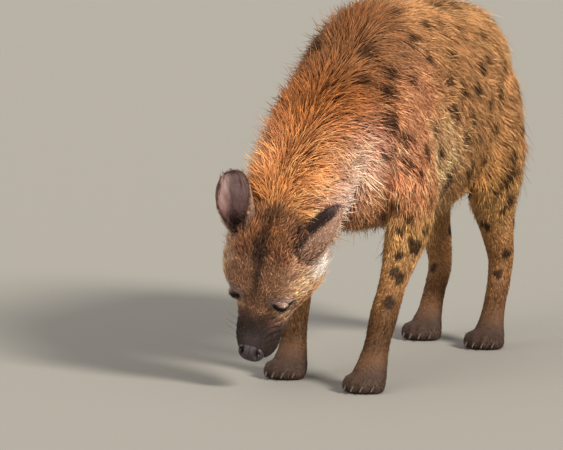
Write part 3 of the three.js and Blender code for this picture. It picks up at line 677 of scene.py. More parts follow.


# Markings: golden tan, rusty on the nape, cream on the side of the neck, pinkish on the flank and dark on the
# muzzle and feet, with dark brown spots. Some tones also hold painted light and shade: darker on the crest
# and withers, paler down the flank, darker on the lower legs, marked where each is set. Skin and coat take
# the same colours. A wash or spot is set where the camera sees it, with its radius, and is carried over to
# the other side.
def tone(code):
    """A colour written as RRGGBB, in linear light."""
    shares = np.array([int(code[k:k + 2], 16) / 255 for k in (0, 2, 4)])
    return np.where(shares <= 0.04045, shares / 12.92, ((shares + 0.055) / 1.055) ** 2.4)


GROUND_TONE = tone("b08458")
SPOT_TONE = tone("33200f")
SKIN_SHADE = 0.75
# The dark crest and withers washes hold painted shade on the top of the back, and the pale flank washes hold
# painted light on the side, over the coat's own tones.
WASHES = {
    "nape": ((300, 95), 95, "945626"), "crest": ((318, 60), 80, "754218"),
    "side of the neck": ((292, 150), 70, "d27826"), "neck by the ear": ((290, 185), 55, "f3a45b"),
    "hind neck": ((322, 150), 45, "b48659"), "cream patch": ((350, 165), 52, "f9e7d4"),
    "pink edge": ((372, 148), 50, "f7b099"), "throat": ((335, 195), 40, "e7c1bd"),
    "fore withers": ((355, 30), 80, "7b431c"), "withers": ((385, 60), 80, "967456"),
    "shoulder": ((415, 110), 90, "e89f76"), "low shoulder": ((405, 190), 70, "f0a075"),
    "back": ((450, 60), 110, "c48e5f"), "flank": ((440, 150), 60, "f9c592"),
    "shoulder point": ((400, 150), 32, "dba07c"), "loin": ((500, 110), 120, "cc9563"),
    "upper arm": ((375, 205), 40, "d49971"), "low flank": ((470, 190), 60, "e3a661"),
    "thigh": ((485, 225), 50, "a0612d"), "haunch": ((495, 160), 70, "a97c4a"),
}
SPOTS = [
    ((510, 200), 9), ((503, 210), 8), ((517, 205), 8), ((515, 226), 9), ((507, 254), 9), ((495, 191), 8),
    ((429, 201), 8), ((407, 219), 9), ((425, 230), 9), ((415, 246), 15), ((399, 255), 9), ((420, 255), 9),
    ((395, 271), 9), ((399, 277), 12), ((413, 277), 13), ((389, 303), 10), ((365, 58), 14), ((387, 75), 11),
    ((360, 84), 12), ((383, 91), 13), ((408, 80), 11), ((387, 118), 14), ((390, 125), 12), ((445, 81), 12),
    ((474, 88), 13), ((484, 58), 12), ((479, 67), 12), ((498, 92), 13), ((452, 110), 12), ((383, 151), 10),
    ((407, 166), 10), ((468, 168), 14), ((447, 175), 10), ((442, 186), 10), ((482, 162), 11),
    ((511, 154), 11), ((516, 168), 10), ((508, 174), 14), ((502, 182), 10), ((509, 198), 10),
    ((434, 10), 18), ((448, 8), 16), ((434, 24), 12), ((486, 225), 9), ((478, 250), 8), ((498, 275), 9),
    ((424, 150), 11), ((432, 130), 10), ((402, 138), 10), ((418, 172), 9), ((395, 205), 8), ((463, 140), 10),
    ((492, 128), 11), ((470, 118), 10), ((455, 30), 12), ((478, 34), 12), ((500, 64), 11), ((425, 58), 11),
    ((410, 40), 12), ((400, 232), 8),
]
SPOT_EDGE = {"full": 0.8, "bare": 1.42, "ragged": 0.22, "dark": 0.93}
HIDDEN_SPOTS = {"room": 62, "tries": 900, "radius": (9, 14), "above": 150, "behind": -180, "aside": 25}
SPOT_SHAPE = np.array([1, 0.72, 0.9])
MIRROR = np.array([-1, 1, 1])


def nearest_part(where):
    """The part that each place belongs to most."""
    return where["share"].argmax(0)


def on_other_side(points):
    """The matching places on the animal's other side: the same distance along the same part's twin, at the
    mirrored angle."""
    where = places(points)
    found = []
    for k, number in enumerate(nearest_part(where)):
        name = part_names[number]
        twin = name.replace("left", "right") if "left" in name else name.replace("right", "left")
        found.append(tubes[twin].point(where["along"][number, k], np.pi - where["angle"][number, k])[0])
    return np.array(found)


def scattered(points, room, taken):
    """Random skin points kept at least so far from each other and from the places already taken."""
    kept = []
    for point in points:
        if all(np.linalg.norm(point - other) > room for other in taken + kept):
            kept.append(point)
    return kept


wash_places = [(seen_at(pixel), radius, tone(code)) for pixel, radius, code in WASHES.values()]
spot_places = [(seen_at(pixel), radius) for pixel, radius in SPOTS]
wash_places = [wash for wash in wash_places if wash[0] is not None]
spot_places = [spot for spot in spot_places if spot[0] is not None]
spot_middles = np.array([middle for middle, _ in spot_places])
spot_radii = np.array([radius for _, radius in spot_places], float)
other_side = on_other_side(spot_middles) + chance.normal(0, 9, spot_middles.shape)
spot_middles = np.concatenate([spot_middles, other_side])
spot_radii = np.concatenate([spot_radii, spot_radii * chance.uniform(0.8, 1.2, len(spot_radii))])
body_points = skin_points[skin_kind == BODY][::7]
spottable = body_points[
    (body_points[:, 2] > HIDDEN_SPOTS["above"]) & (body_points[:, 1] > HIDDEN_SPOTS["behind"])
    & (np.abs(body_points[:, 0]) > HIDDEN_SPOTS["aside"])]
tries = chance.permutation(spottable)[:HIDDEN_SPOTS["tries"]]
hidden = scattered(tries, HIDDEN_SPOTS["room"], list(spot_middles))
spot_middles = np.concatenate([spot_middles, hidden])
spot_radii = np.concatenate([spot_radii, chance.uniform(*HIDDEN_SPOTS["radius"], len(hidden))])


def spotted(points):
    """How dark the spots make each point: full inside the nearest spot, fading over its ragged edge."""
    dark = np.zeros(len(points))
    ragged = 1 + SPOT_EDGE["ragged"] * ripple(points, 16, 21)
    for middle, radius in zip(spot_middles, spot_radii):
        near = np.linalg.norm((points - middle) * SPOT_SHAPE, axis=1) / (radius * ragged)
        dark = np.maximum(dark, step(SPOT_EDGE["bare"], SPOT_EDGE["full"], near))
    return dark


def mixed(colours, other, amount):
    """Colours moved towards another by the amount at each point."""
    return colours + (other - colours) * amount[:, None]


FACE_TONE = "7c583f"
FACE_MARKS = {
    "brow": ("714d35", (167, 37, 57), (16, 18, 22)),
    "temple": ("b98a6a", (213, 70, 44), (24, 20, 26)),
    "cheek": ("d0a580", (172, 86, 20), (28, 24, 32)),
    "low cheek": ("b98d66", (140, 76, 10), (18, 20, 26)),
    "cheek edge": ("d9b08e", (200, 98, 6), (16, 14, 22)),
    "jowl": ("b59079", (95, 46, -50), (30, 20, 30)),
    "under eye": ("d6ab8a", (107, 50, 18), (12, 22, 20)),
    "inner corner": ("4b352c", (122, 26, 46), (9, 8, 12)),
    "behind the cheek": ("c9a693", (240, 94, -20), (20, 18, 34)),
    "under the cheek": ("b98c66", (168, 98, -28), (20, 18, 24)),
    "white patch": ("f4e8dc", (214, 100, -16), (19, 22, 26)),
    "forehead side": ("6f472f", (226, 43, 56), (24, 22, 26)),
    "crown": ("8a5832", (272, 0, 48), (34, 50, 40)),
    # Painted shade: the dark of the ear's hollow carried onto the crown beside its root.
    "painted shade by the ear": ("2c1912", (276, 60, 12), (22, 18, 28)),
    "forehead": ("42281a", (226, -6, 58), (50, 24, 26)),
}
LID_LINE = {"half": 4.2, "out": (25, 8.5), "in": (-21.5, 0.5), "radius": 15.5}
DARK_LINE = "120c0a"


def lid_line(points, sign):
    """How dark the lids' edges and their drawn-out corners make each point: by its distance, seen from the
    front of the eye, from the slit's curve, over a width that narrows to the corners' ends."""
    middle, corner, brow, out = eye_axes(sign)
    away = points - middle
    x, y = away @ corner, away @ brow
    h = np.linspace(-1, 1, 15)
    turn, rise = np.radians(LID["turn"] * h), np.radians(slit_rise(h))
    curve = LID_LINE["radius"] * np.stack([np.sin(turn) * np.cos(rise), np.sin(rise)], 1)
    curve = np.concatenate([[LID_LINE["in"]], curve, [LID_LINE["out"]]])
    half = LID_LINE["half"] * np.concatenate([[0.25], 0.55 + 0.45 * np.sqrt(1 - h * h), [0.2]])
    nearest = np.full(len(points), np.inf)
    for k in range(len(curve) - 1):
        way = curve[k + 1] - curve[k]
        t = np.clip(((x - curve[k, 0]) * way[0] + (y - curve[k, 1]) * way[1]) / (way @ way), 0, 1)
        away_here = np.hypot(x - curve[k, 0] - t * way[0], y - curve[k, 1] - t * way[1])
        nearest = np.minimum(nearest, away_here / (half[k] + t * (half[k + 1] - half[k])))
    return step(1.3, 0.8, nearest) * step(34, 30, np.linalg.norm(away, axis=1)) * step(-4, 2, away @ out)


def lid_tone(points, sign):
    """The lids' colours: greyish above, darker towards the nose, with painted shade in the crease over the
    upper lid, tan below, nearly black along the slit.
    """
    h, above, _ = eye_angles(points, sign)
    upper = mixed(np.broadcast_to(tone("8c7064"), points.shape), tone("b89c90"), step(-0.6, 0.6, h))
    # Painted shade in the crease where the upper lid meets the face.
    upper = mixed(upper, tone("4a342a"), 0.7 * bell((above - 84) / 12))
    colours = np.where((above > 0)[:, None], upper, tone("94725a"))
    return mixed(colours, tone(DARK_LINE), lid_line(points, sign))


def face_tone(points):
    """The head's colours: brown, with paler cheeks, brows and eye rims, a dark line up the forehead, a
    charcoal muzzle with painted shade down its right side and in its wrinkles, a painted sheen on top by the
    nose, a dark crown, and painted shade on the crown beside each ear's root."""
    up, left, over = head_places(points)
    at = (up, np.abs(left), over)
    colours = np.broadcast_to(tone(FACE_TONE), points.shape)
    blotchy = 1 + 0.3 * ripple(points, 11, 33)
    for code, place, size in FACE_MARKS.values():
        colours = mixed(colours, tone(code), np.clip(1.25 * mound(blotchy, place, size, at), 0, 1))
    ragged = 5 * ripple(points, 22, 31)
    midline = bell((left + 3 + 0.6 * ragged) / (7 + 7 * step(150, 260, up))) * step(95, 130, up)
    colours = mixed(colours, tone("2b1810"), 0.7 * midline * step(0, 25, over))
    # The muzzle is charcoal on the bridge and all down its right side but browner low on its left: the right
    # side's extra dark is painted shade.
    muzzle = step(104, 72, up + 0.45 * np.maximum(left - 15, 0) + ragged)
    colours = mixed(colours, tone("1f1412"), 0.95 * muzzle)
    colours = mixed(colours, tone("6b4c3f"), mound(0.8, (82, 38, 18), (15, 13, 26), at))
    # A lavender-grey patch on top of the muzzle by the nose: painted sheen.
    colours = mixed(colours, tone("4a3c3f"), mound(0.6, (36, 0, 32), (12, 20, 14), at))
    # The wrinkles darkened: painted shade in the creases.
    colours = mixed(colours, tone("140d0b"), 0.85 * creased(up, left, over))
    colours = mixed(colours, tone("5d4a3e"), 0.7 * step(-30, -60, over) * step(150, 100, up))
    for sign in (1, -1):
        _, above, reach = eye_angles(points, sign)
        colours = mixed(colours, lid_tone(points, sign), 0.9 * step(30 + 8 * step(-5, 30, above), 22, reach))
        colours = mixed(colours, tone(DARK_LINE), lid_line(points, sign))
    return colours


# The lower legs darken to the feet, partly their own browner colour and partly painted shade; the extra dark
# on the forelegs' lower shanks is painted shade.
LEG_TONES = [("a8794c", 300, 190), ("765031", 190, 90), ("4e3a2f", 80, 30)]


def leg_tone(points, in_forelegs):
    """The legs' colours by height: golden tan above, browner to the feet, partly painted shade, and darkest
    on the forelegs round the wrists, where painted shade lies.
    """
    height = points[:, 2]
    colours = np.broadcast_to(tone("c79761"), points.shape)
    for code, high, low in LEG_TONES:
        colours = mixed(colours, tone(code), step(high, low, height))
    return mixed(colours, tone("52361f"), 0.7 * in_forelegs * step(215, 130, height) * step(50, 90, height))


def coat_tone(points, where):
    """The body's colours: the mean of the ground tone and the washes, each weighed by a bell of its distance
    on either side. Then come the legs, the ridge, the belly, the tail, the spots and the face."""
    total = np.full(len(points), 0.12)
    weighed = 0.12 * GROUND_TONE * np.ones((len(points), 1))
    for middle, radius, colour in wash_places:
        near = np.linalg.norm(points - middle, axis=1)
        far = np.linalg.norm(points - middle * MIRROR, axis=1)
        weight = bell(np.minimum(near, far) / radius)
        total += weight
        weighed += weight[:, None] * colour
    colours = weighed / total[:, None]
    share = where["share"]
    height = points[:, 2]
    in_legs = share[LEGS].sum(0)
    in_forelegs = share[FORELEGS].sum(0) / np.maximum(in_legs, 1e-6)
    colours = mixed(colours, leg_tone(points, in_forelegs), in_legs * step(390, 300, height))
    colours = mixed(colours, tone("6e4526"), 0.55 * bell(points[:, 0] / 26) * step(600, 700, height))
    colours = mixed(colours, tone("a98763"), 0.6 * step(345, 300, height) * share[PART["torso"]])
    in_tail = share[PART["tail"]] * step(640, 560, height)
    colours = mixed(colours, tone("96693f"), in_tail)
    colours = mixed(colours, tone("2a1d15"), in_tail * step(500, 430, height + 10 * ripple(points, 30, 5)))
    in_head = share[HEAD_PARTS].sum(0)
    spots = SPOT_EDGE["dark"] * spotted(points) * (1 - in_tail) * step(0.75, 0.35, in_head)
    colours = mixed(colours, SPOT_TONE, spots)
    return mixed(colours, face_tone(points), step(0.35, 0.75, in_head))


# How far up each ear painted shade darkens the hollow: the left ear's over most of its height, the right
# ear's only near its root.
EAR_HOLLOW_SHADE = {1: (1.0, 0.7), -1: (0.45, 0.15)}


def ear_tone(points):
    """The ears' colours: purple-grey and streaked inside, with painted shade deep in the hollow, tan behind,
    with a dark rim.
    """
    colours = np.zeros_like(points)
    sign = np.where(head_places(points)[1] > 0, 1, -1)
    for side in (1, -1):
        u, j, inside = ear_place(points, side)
        axis = ear_axes(side)[1]
        streak = 0.5 + 0.5 * ripple(points - 0.8 * np.outer(points @ axis, axis), 5, 71)
        within = np.broadcast_to(tone("8c6861"), points.shape)
        within = mixed(within, tone("c4aaa8"), 0.6 * streak * step(0.25, 0.8, u))
        within = mixed(within, tone("2b1712"), 0.95 * step(*EAR_HOLLOW_SHADE[side], u))
        behind = np.broadcast_to(tone("a88470"), points.shape)
        behind = mixed(behind, tone("765440"), 0.6 * step(0.45, 0.05, u))
        shade = mixed(behind, within, step(-0.6, 0.6, inside))
        rim = step(0.88, 0.98, np.maximum(np.abs(j), step(0.9, 1.0, u)))
        shade = mixed(shade, tone("40271e"), 0.8 * rim)
        own = sign == side
        colours[own] = shade[own]
    return colours


def all_tones(points, kind, where):
    """The colour of every point, by the kind of skin it lies on."""
    colours = coat_tone(points, where)
    for sign in (1, -1):
        lid_points = (kind == LIDS) & (head_places(points)[1] * sign > 0)
        colours[lid_points] = lid_tone(points[lid_points], sign)
    colours[kind == EARS] = ear_tone(points[kind == EARS])
    return colours


def paint(mesh, colours):
    """Writes the markings as a colour for each point of the mesh."""
    layer = mesh.color_attributes.new("markings", "FLOAT_COLOR", "POINT")
    full = np.ones((len(colours), 4), np.float32)
    full[:, :3] = colours
    layer.data.foreach_set("color", full.ravel())


skin_where = places(skin_points)
paint(skin_mesh, SKIN_SHADE * all_tones(skin_points, skin_kind, skin_where))


class Socket:
    """A node's output that takes plus, minus and times, each of which adds a Math node."""

    def __init__(self, finish, output):
        self.finish = finish
        self.output = output

    def math(self, operation, first, second):
        """A Math node on two numbers or sockets."""
        return self.finish.node("ShaderNodeMath", {"operation": operation}, {0: first, 1: second}, 0)

    def __add__(self, other):
        return self.math("ADD", self, other)

    def __radd__(self, other):
        return self.math("ADD", other, self)

    def __sub__(self, other):
        return self.math("SUBTRACT", self, other)

    def __rsub__(self, other):
        return self.math("SUBTRACT", other, self)

    def __mul__(self, other):
        return self.math("MULTIPLY", self, other)

    def __rmul__(self, other):
        return self.math("MULTIPLY", other, self)


class Finish:
    """A material and its nodes, from which surface() makes the finished look."""

    def __init__(self, name):
        self.material = bpy.data.materials.new(name)
        self.material.use_nodes = True
        self.nodes = self.material.node_tree.nodes
        self.links = self.material.node_tree.links
        self.shader = self.nodes["Principled BSDF"]

    def node(self, kind, settings, inputs, output):
        """Adds a node of the given type, sets it up, and feeds its sockets with values or links."""
        made = self.nodes.new(kind)
        for name, value in settings.items():
            setattr(made, name, value)
        for name, value in inputs.items():
            self.feed(made.inputs[name], value)
        return Socket(self, made.outputs[output])

    def feed(self, socket, value):
        """A link where the value is a socket, and the socket's own value otherwise."""
        if isinstance(value, Socket):
            self.links.new(value.output, socket)
        else:
            socket.default_value = value

    def surface(self, **inputs):
        """The material, with the shader's sockets fed by name."""
        for name, value in inputs.items():
            self.feed(self.shader.inputs[name.replace("_", " ")], value)
        return self.material

    def place(self):
        """Each point's place in the object's own metres."""
        return self.node("ShaderNodeTexCoord", {}, {}, "Object")

    def markings(self):
        """The markings painted on the mesh's points."""
        return self.node("ShaderNodeVertexColor", {"layer_name": "markings"}, {}, "Color")

    def noise(self, scale, detail):
        """Smooth noise between 0 and 1, in so many steps of detail."""
        return self.node("ShaderNodeTexNoise", {}, {
            "Vector": self.place(), "Scale": scale, "Detail": detail, "Roughness": 0.55}, "Fac")

    def bump(self, height, strength, distance):
        """The surface's direction, tilted by the slope of a height."""
        return self.node("ShaderNodeBump", {}, {
            "Height": height, "Strength": strength, "Distance": distance}, "Normal")

    def tinted(self, colour, other, amount, blend="MIX"):
        """Two colours mixed by an amount."""
        return self.node("ShaderNodeMix", {"data_type": "RGBA", "blend_type": blend}, {
            0: amount, 6: colour, 7: other}, 2)


def skin_finish():
    """Hide: the markings' colour, darker in the fine grain, with short flat hair as bump."""
    finish = Finish("hide")
    grain = finish.noise(900, 3)
    colour = finish.tinted(finish.markings(), (0.02, 0.013, 0.01, 1), (1 - grain) * 0.5)
    return finish.surface(
        Base_Color=colour, Roughness=0.62 + 0.2 * grain, Specular_IOR_Level=0.3,
        Normal=finish.bump(grain, 0.5, 0.0012))


skin_nodes = [
    "head", "lower_jaw", "ear_left", "ear_right", "torso", "neck", *legs,
    *(name.replace("leg", "shank") for name in legs), *(name.replace("leg", "paw") for name in legs), "tail",
]
lay_piece("skin", skin_mesh, skin_finish(), skin_nodes)

# Coat: nearly a hundred and fifty thousand tapered tufts rooted in the skin. They lie back and down along
# the body, stand up along the nape, hang in fringes behind the legs and lean together in clumps. Guard hairs
# stand out of the shaggy parts and a few whiskers out of the lips, and muzzle and feet have the shortest.
LONG_STEPS = (0.0, 0.36, 0.72)
SHORT_STEPS = (0.0, 0.5)
TUFT_PATCH = 0.003
TUFT_ROOT = 0.8
TUFT_FLOOR = 0.4
SIDES = (-174.0, 157.0)
PAST_SIDES = 0.25
CLUMP_ROOM = {"long": 13.0, "short": 6.0}
CELL_PRIMES = np.array([73856093, 19349663, 83492791])
CELL_MARKS = 100003
LONG_COAT = 22
WHISKER = {"share": 0.02, "length": 58, "width": 0.55, "rise": 0.8}
GUARD = {"share": 0.08, "over": 24, "before": 380, "factors": np.array([1.4, 0.6, 1.5, 1, 1.6])}
BARE_NOSE = {"place": (14, 0, 13), "radius": 27}
BARE_SOLE = {"under": 5, "facing": -0.3}
EAR_TRIES = (0.3, 0.55, 0.8, 1.05)
COAT_PARTING = -20
# A tuft's length, width, rise, spacing and stray beside the eyes and on their lids.
NEAR_EYE = np.array([6.5, 0.8, math.radians(16), 1.6, 0.4])
ON_LID = np.array([7.0, 0.75, math.radians(24), 1.3, 0.4])


def coat_shape(points, kind, where):
    """Each point's tuft: its length, width, rise from the skin in radians, spacing, and how far it wanders.
    Each part gives its own, by height, angle and distance along it, and the shares mix them."""
    share, angle, along = where["share"], where["angle"], where["along"]
    up, left, _ = head_places(points)
    height = points[:, 2]
    shape = np.zeros((5, len(points)))

    def add(part, length, width, rise, room, stray):
        """One part's tufts, by its share in each point."""
        for row, value in enumerate((length, width, np.radians(rise), room, stray)):
            shape[row] += share[part] * value

    part = PART["torso"]
    ridge = bell((angle[part] - np.pi / 2) / 0.3)
    fore = step(400, 250, along[part])
    under = step(-0.7, -1.3, angle[part])
    add(part, 42 + ridge * (10 + 16 * fore) + 6 * under, 2.0, 17 + ridge * (8 + 20 * fore) + 8 * under,
        3.5, 0.36)
    part = PART["neck"]
    nape = bell((angle[part] - np.pi / 2) / 0.42)
    add(part, 50 + 30 * nape, 2.0, 22 + 34 * nape, 3.4, 0.5)
    muzzle = step(105, 45, up)
    crown = step(190, 235, up)
    cheek = step(60, 92, np.abs(left)) * step(120, 165, up) * (1 + 0.6 * step(86, 104, np.abs(left)))
    add(PART["head"], 9.5 - 2.5 * muzzle + 14 * crown + 14 * cheek,
        1.15 - 0.35 * muzzle + 0.4 * crown + 0.2 * cheek, 20 + 18 * crown + 10 * cheek - 5 * muzzle,
        2.35 - 0.25 * muzzle + 0.6 * crown + 0.4 * cheek, 0.34 + 0.4 * crown)
    add(PART["jaw"], 7, 0.9, 16, 2.3, 0.3)
    for sign in (1, -1):
        close = step(30, 20, eye_angles(points, sign)[2])
        shape += close * (NEAR_EYE[:, None] - shape)
    for part in range(PART["foreleg_left"], PART["hindleg_right"] + 1):
        fore = part < PART["hindleg_left"]
        rear = step(-0.4, -1.2, angle[part])
        upper = step(230, 400, height)
        fringe = rear * bell((height - (300 if fore else 360)) / (70 if fore else 110))
        low = step(130, 60, height)
        add(part, 15 + 22 * upper + 24 * fringe - 7 * low, 1.4 + 0.6 * upper - 0.3 * low,
            14 + 4 * upper + 14 * fringe, 3.1 + 0.5 * upper - 0.5 * low, 0.28)
    brush = step(560, 470, height)
    add(PART["tail"], 32 + 30 * brush, 2.0, 15 - 5 * brush, 3.6, 0.3)
    shape[:, kind == LIDS] = ON_LID[:, None]
    on_ear = kind == EARS
    for sign in (1, -1):
        u, j, inside = ear_place(points, sign)
        hollow = step(-0.6, 0.6, inside)
        low = step(0.5, 0.1, u)
        rim = step(0.8, 0.97, np.maximum(np.abs(j), step(0.88, 1.0, u)))
        own = on_ear & (left * sign > 0)
        ear_shape = np.array([
            8 + 8 * low + 2.5 * rim + 3 * hollow * rim, 0.95 + 0.3 * low,
            np.radians(13 + 20 * rim + 12 * low), 2.3 + 2.4 * hollow * (1 - rim) * (1 - low), 0.28 + 0 * u])
        shape[:, own] = ear_shape[:, own]
    return shape


def coat_lie(points, kind, where):
    """The way the coat lies: each part's own direction, turned down on the flanks, up the ears to their tips,
    and outwards over the lids."""
    flow = np.zeros_like(points)
    up, left, _ = head_places(points)
    for part, name in enumerate(part_names):
        ahead, fall = where["ahead"][part], where["fall"][part]
        if name == "torso":
            ahead = ahead + 0.9 * fall
        elif name == "neck":
            ahead = 0.45 * ahead + fall
        elif name in ("head", "jaw"):
            spread = 0.35 * step(60, 150, up)[:, None] * np.sign(left)[:, None] * HEAD_LEFT
            ahead = ahead + spread - 0.35 * step(120, 200, up)[:, None] * HEAD_OVER
        elif name == "tail":
            ahead = np.array([0, -0.12, 0]) - ahead
        else:
            ahead = np.array([0, 0.3, 0]) - ahead
        flow += where["share"][part][:, None] * ahead
    for sign in (1, -1):
        middle, corner, _, out = eye_axes(sign)
        on_lid = (kind == LIDS) & (left * sign > 0)
        flow[on_lid] = unit(points[on_lid] - middle - 6 * out) + 0.8 * HEAD_UP + 0.5 * corner
        root, axis, across, _ = ear_axes(sign)
        on_ear = (kind == EARS) & (left * sign > 0)
        spread = ((points - root) @ across / EAR["half"])[:, None] * across
        flow[on_ear] = (axis + 0.5 * spread)[on_ear]
    return unit(flow)


def rooted(points, faces, shape):
    """Random roots on the skin, as a triangle and a mix of its corners each. A triangle gets as many as its
    area divided by the spacing squared, the fraction settled by chance."""
    a, b, c = (points[faces[:, k]] for k in range(3))
    area = np.linalg.norm(np.cross(b - a, c - a), axis=1) / 2
    room = shape[3, faces].mean(1)
    count = (area / room ** 2 + chance.random(len(faces))).astype(int)
    triangle = np.repeat(np.arange(len(faces)), count)
    mix = chance.random((len(triangle), 2))
    over = mix.sum(1) > 1
    mix[over] = 1 - mix[over]
    return triangle, np.column_stack([1 - mix.sum(1), mix])


def clumped(roots, room):
    """The middle of the clump that each root belongs to: one point at a mixed-up place in each cell of a
    grid, the nearest of those in the cells around."""
    cell = np.floor(roots / room).astype(np.int64)
    best = np.full(len(roots), np.inf)
    middle = np.zeros_like(roots)
    for neighbour in np.ndindex(3, 3, 3):
        other = cell + np.array(neighbour) - 1
        mark = (other * CELL_PRIMES).sum(1) % CELL_MARKS
        jitter = np.stack([np.modf(np.abs(np.sin(mark * (1.7 + m)) * 43758.5))[0] for m in range(3)], 1)
        centre = (other + jitter) * room
        away = ((centre - roots) ** 2).sum(1)
        closer = away < best
        best = np.where(closer, away, best)
        middle[closer] = centre[closer]
    return middle


def tuft_points(roots, normals, flows, shape, steps, clump):
    """Each tuft is a flattened three-sided spike. Its spine leaves the skin at its rise, bends back towards
    it by the square of the way along, and leans to its clump's tip, and its width tapers to a point. What
    would reach past the animal's sides is drawn in to a part of how far it passes them."""
    length, width, rise, _, stray = shape
    side = np.cross(normals, flows)
    sway = chance.normal(0, 0.5, len(roots)) * stray
    flows = unit(flows * np.cos(sway)[:, None] + side * np.sin(sway)[:, None])
    side = np.cross(normals, flows)
    rise = np.clip(rise * (1 + chance.normal(0, 0.22, len(roots))), 0.03, 1.3)
    length = length * np.clip(chance.normal(1, 0.16, len(roots)), 0.5, 1.5)
    wave = (chance.normal(0, 0.05, len(roots)) + 0.06 * ripple(clump, 24, 61)) * length
    pull = (clump - roots) - normals * ((clump - roots) * normals).sum(1)[:, None]
    lean = np.minimum(1, 0.5 * length / (np.linalg.norm(pull, axis=1) + 1e-6))
    pull = pull * (0.5 * lean)[:, None]

    def spine(t):
        """The middle of every tuft at a share of the way to its tip."""
        climb = np.sin(rise) * (t - 0.42 * t * t)
        return roots + flows * (length * t * np.cos(rise))[:, None] \
            + normals * (length * climb - TUFT_ROOT)[:, None] \
            + side * (wave * t * t)[:, None] + pull * t ** 1.4

    rings = []
    for t in steps:
        middle = spine(t)
        half = (width / 2 * (1 - 0.5 * t * t) * (0.7 + 0.6 * min(t * 3, 0.5)))[:, None]
        rings.append(np.stack([
            middle + side * half, middle + normals * (0.55 * half), middle - side * half], 1))
    points = np.concatenate([*rings, spine(1.0)[:, None]], 1)
    points[..., 2] = np.maximum(points[..., 2], TUFT_FLOOR)
    inside = np.clip(points[..., 0], *SIDES)
    points[..., 0] = inside + PAST_SIDES * (points[..., 0] - inside)
    return points


def tuft_faces(count, rings):
    """The triangles of a spike with so many rings, repeated for every tuft."""
    one = [(0, 2, 1)]
    for r in range(rings - 1):
        for k in range(3):
            a, b = 3 * r + k, 3 * r + (k + 1) % 3
            one += [(a, b, b + 3), (a, b + 3, a + 3)]
    top = 3 * (rings - 1)
    one += [(top + k, top + (k + 1) % 3, top + 3) for k in range(3)]
    size = 3 * rings + 1
    return (np.array(one)[None] + (np.arange(count) * size)[:, None, None]).reshape(-1, 3)


def coat_finish():
    """Hair: the tuft's own colour with fine streaks, soft and a little glossy."""
    finish = Finish("hair")
    streak = finish.noise(420, 2)
    colour = finish.tinted(finish.markings(), (0.9, 0.72, 0.5, 1), (streak - 0.35) * 0.28, "MULTIPLY")
    return finish.surface(
        Base_Color=colour, Roughness=0.55 + 0.15 * streak, Specular_IOR_Level=0.15,
        Normal=finish.bump(streak, 0.15, 0.0006))


def lay_coat(name, chosen, steps, finish):
    """One piece of coat: the chosen tufts as spikes, with a colour for each ring and a small patch of the
    OFBake map at each root's place along and around its part."""
    roots, normals, flows, shape, tones, tips, chart, clump = (each[chosen] for each in tuft_data)
    points = tuft_points(roots, normals, flows, shape.T, steps, clump)
    faces = tuft_faces(len(points), len(steps))
    mesh = lay_mesh(name, metres(points.reshape(-1, 3)), faces)
    levels = np.array([*np.repeat(steps, 3), 1.0])
    t = levels[None, :, None]
    bright = np.clip(chance.normal(1, 0.17, len(points)), 0.55, 1.6)[:, None, None]
    # Each tuft is darker towards its root: painted shade deep in the coat between the locks.
    root_shaded_ramp = tones[:, None] * (0.6 + 0.48 * np.minimum(t * 1.6, 1)) * (1 - t ** 2) + tips[:, None] * t ** 2
    paint(mesh, np.clip(root_shaded_ramp * bright, 0, 1).reshape(-1, 3))
    low, high = chart.min(0), chart.max(0)
    home = 0.02 + 0.95 * (chart - low) / np.maximum(high - low, 1e-6)
    across = np.array([*[0, 0.5, 1] * len(steps), 0.5])
    patch = home[:, None] + TUFT_PATCH * np.stack([across, levels], 1)[None]
    layer = mesh.uv_layers.new(name="OFBake")
    layer.data.foreach_set("uv", patch.reshape(-1, 2)[faces.ravel()].astype(np.float32).ravel())
    lay_piece(name, mesh, finish)


def crosses_ear(roots, kind, hairs, sign):
    """Which of the body's tufts, from their roots along their hairs, run through an ear or the room before
    its opening. Four places of each are tried."""
    ear_root, _, across, facing = ear_axes(sign)
    found = np.zeros(len(roots), bool)
    for share_out in EAR_TRIES:
        reached = roots + hairs * share_out
        u, j, inside = ear_place(reached, sign)
        curl, radius = ear_ring(u)
        aside = np.abs((reached - ear_root) @ across)
        before = (reached - ear_root) @ facing
        in_wall = (u > 0.06) & (u < 0.98) & (np.abs(j) < 1.08) & (inside > -7)
        in_room = (u > 0.5) & (u < 0.99) & (before > -16) & (before < 36) \
            & (aside < radius * np.sin(np.minimum(curl, np.pi / 2)) + 3)
        found |= (in_wall | in_room) & (kind != EARS)
    return found


# Roots with the tufts' shapes, then the whiskers and guard hairs among them.
skin_shape = coat_shape(skin_points, skin_kind, skin_where)
triangle, mix = rooted(skin_points, skin_faces, skin_shape)
corners = skin_faces[triangle]
roots = (skin_points[corners] * mix[..., None]).sum(1)
normals = unit((skin_normals[corners] * mix[..., None]).sum(1))
root_kind = skin_kind[corners[:, 0]]
shape = (skin_shape.T[corners] * mix[..., None]).sum(1)
up, left, over = head_places(roots)
on_lip = mound(1, (42, 40, 2), (20, 14, 12), (up, np.abs(left), over))
whisker = (chance.random(len(roots)) < WHISKER["share"] * on_lip) & (root_kind == BODY)
shape[whisker, :3] = WHISKER["length"], WHISKER["width"], WHISKER["rise"]
guard = (chance.random(len(roots)) < GUARD["share"]) & (shape[:, 0] > GUARD["over"])
guard &= roots[:, 1] < GUARD["before"]
shape[guard] *= GUARD["factors"]

# The lie, swayed by smooth noise. No tuft grows on the nose or the soles or runs through an ear.
lie = coat_lie(roots, root_kind, places(roots))
sway = 0.3 * ripple(roots, 70, 41) + 0.22 * ripple(roots, 26, 42)
lie = unit(lie - normals * (lie * normals).sum(1)[:, None])
lie = unit(lie * np.cos(sway)[:, None] + np.cross(normals, lie) * np.sin(sway)[:, None])

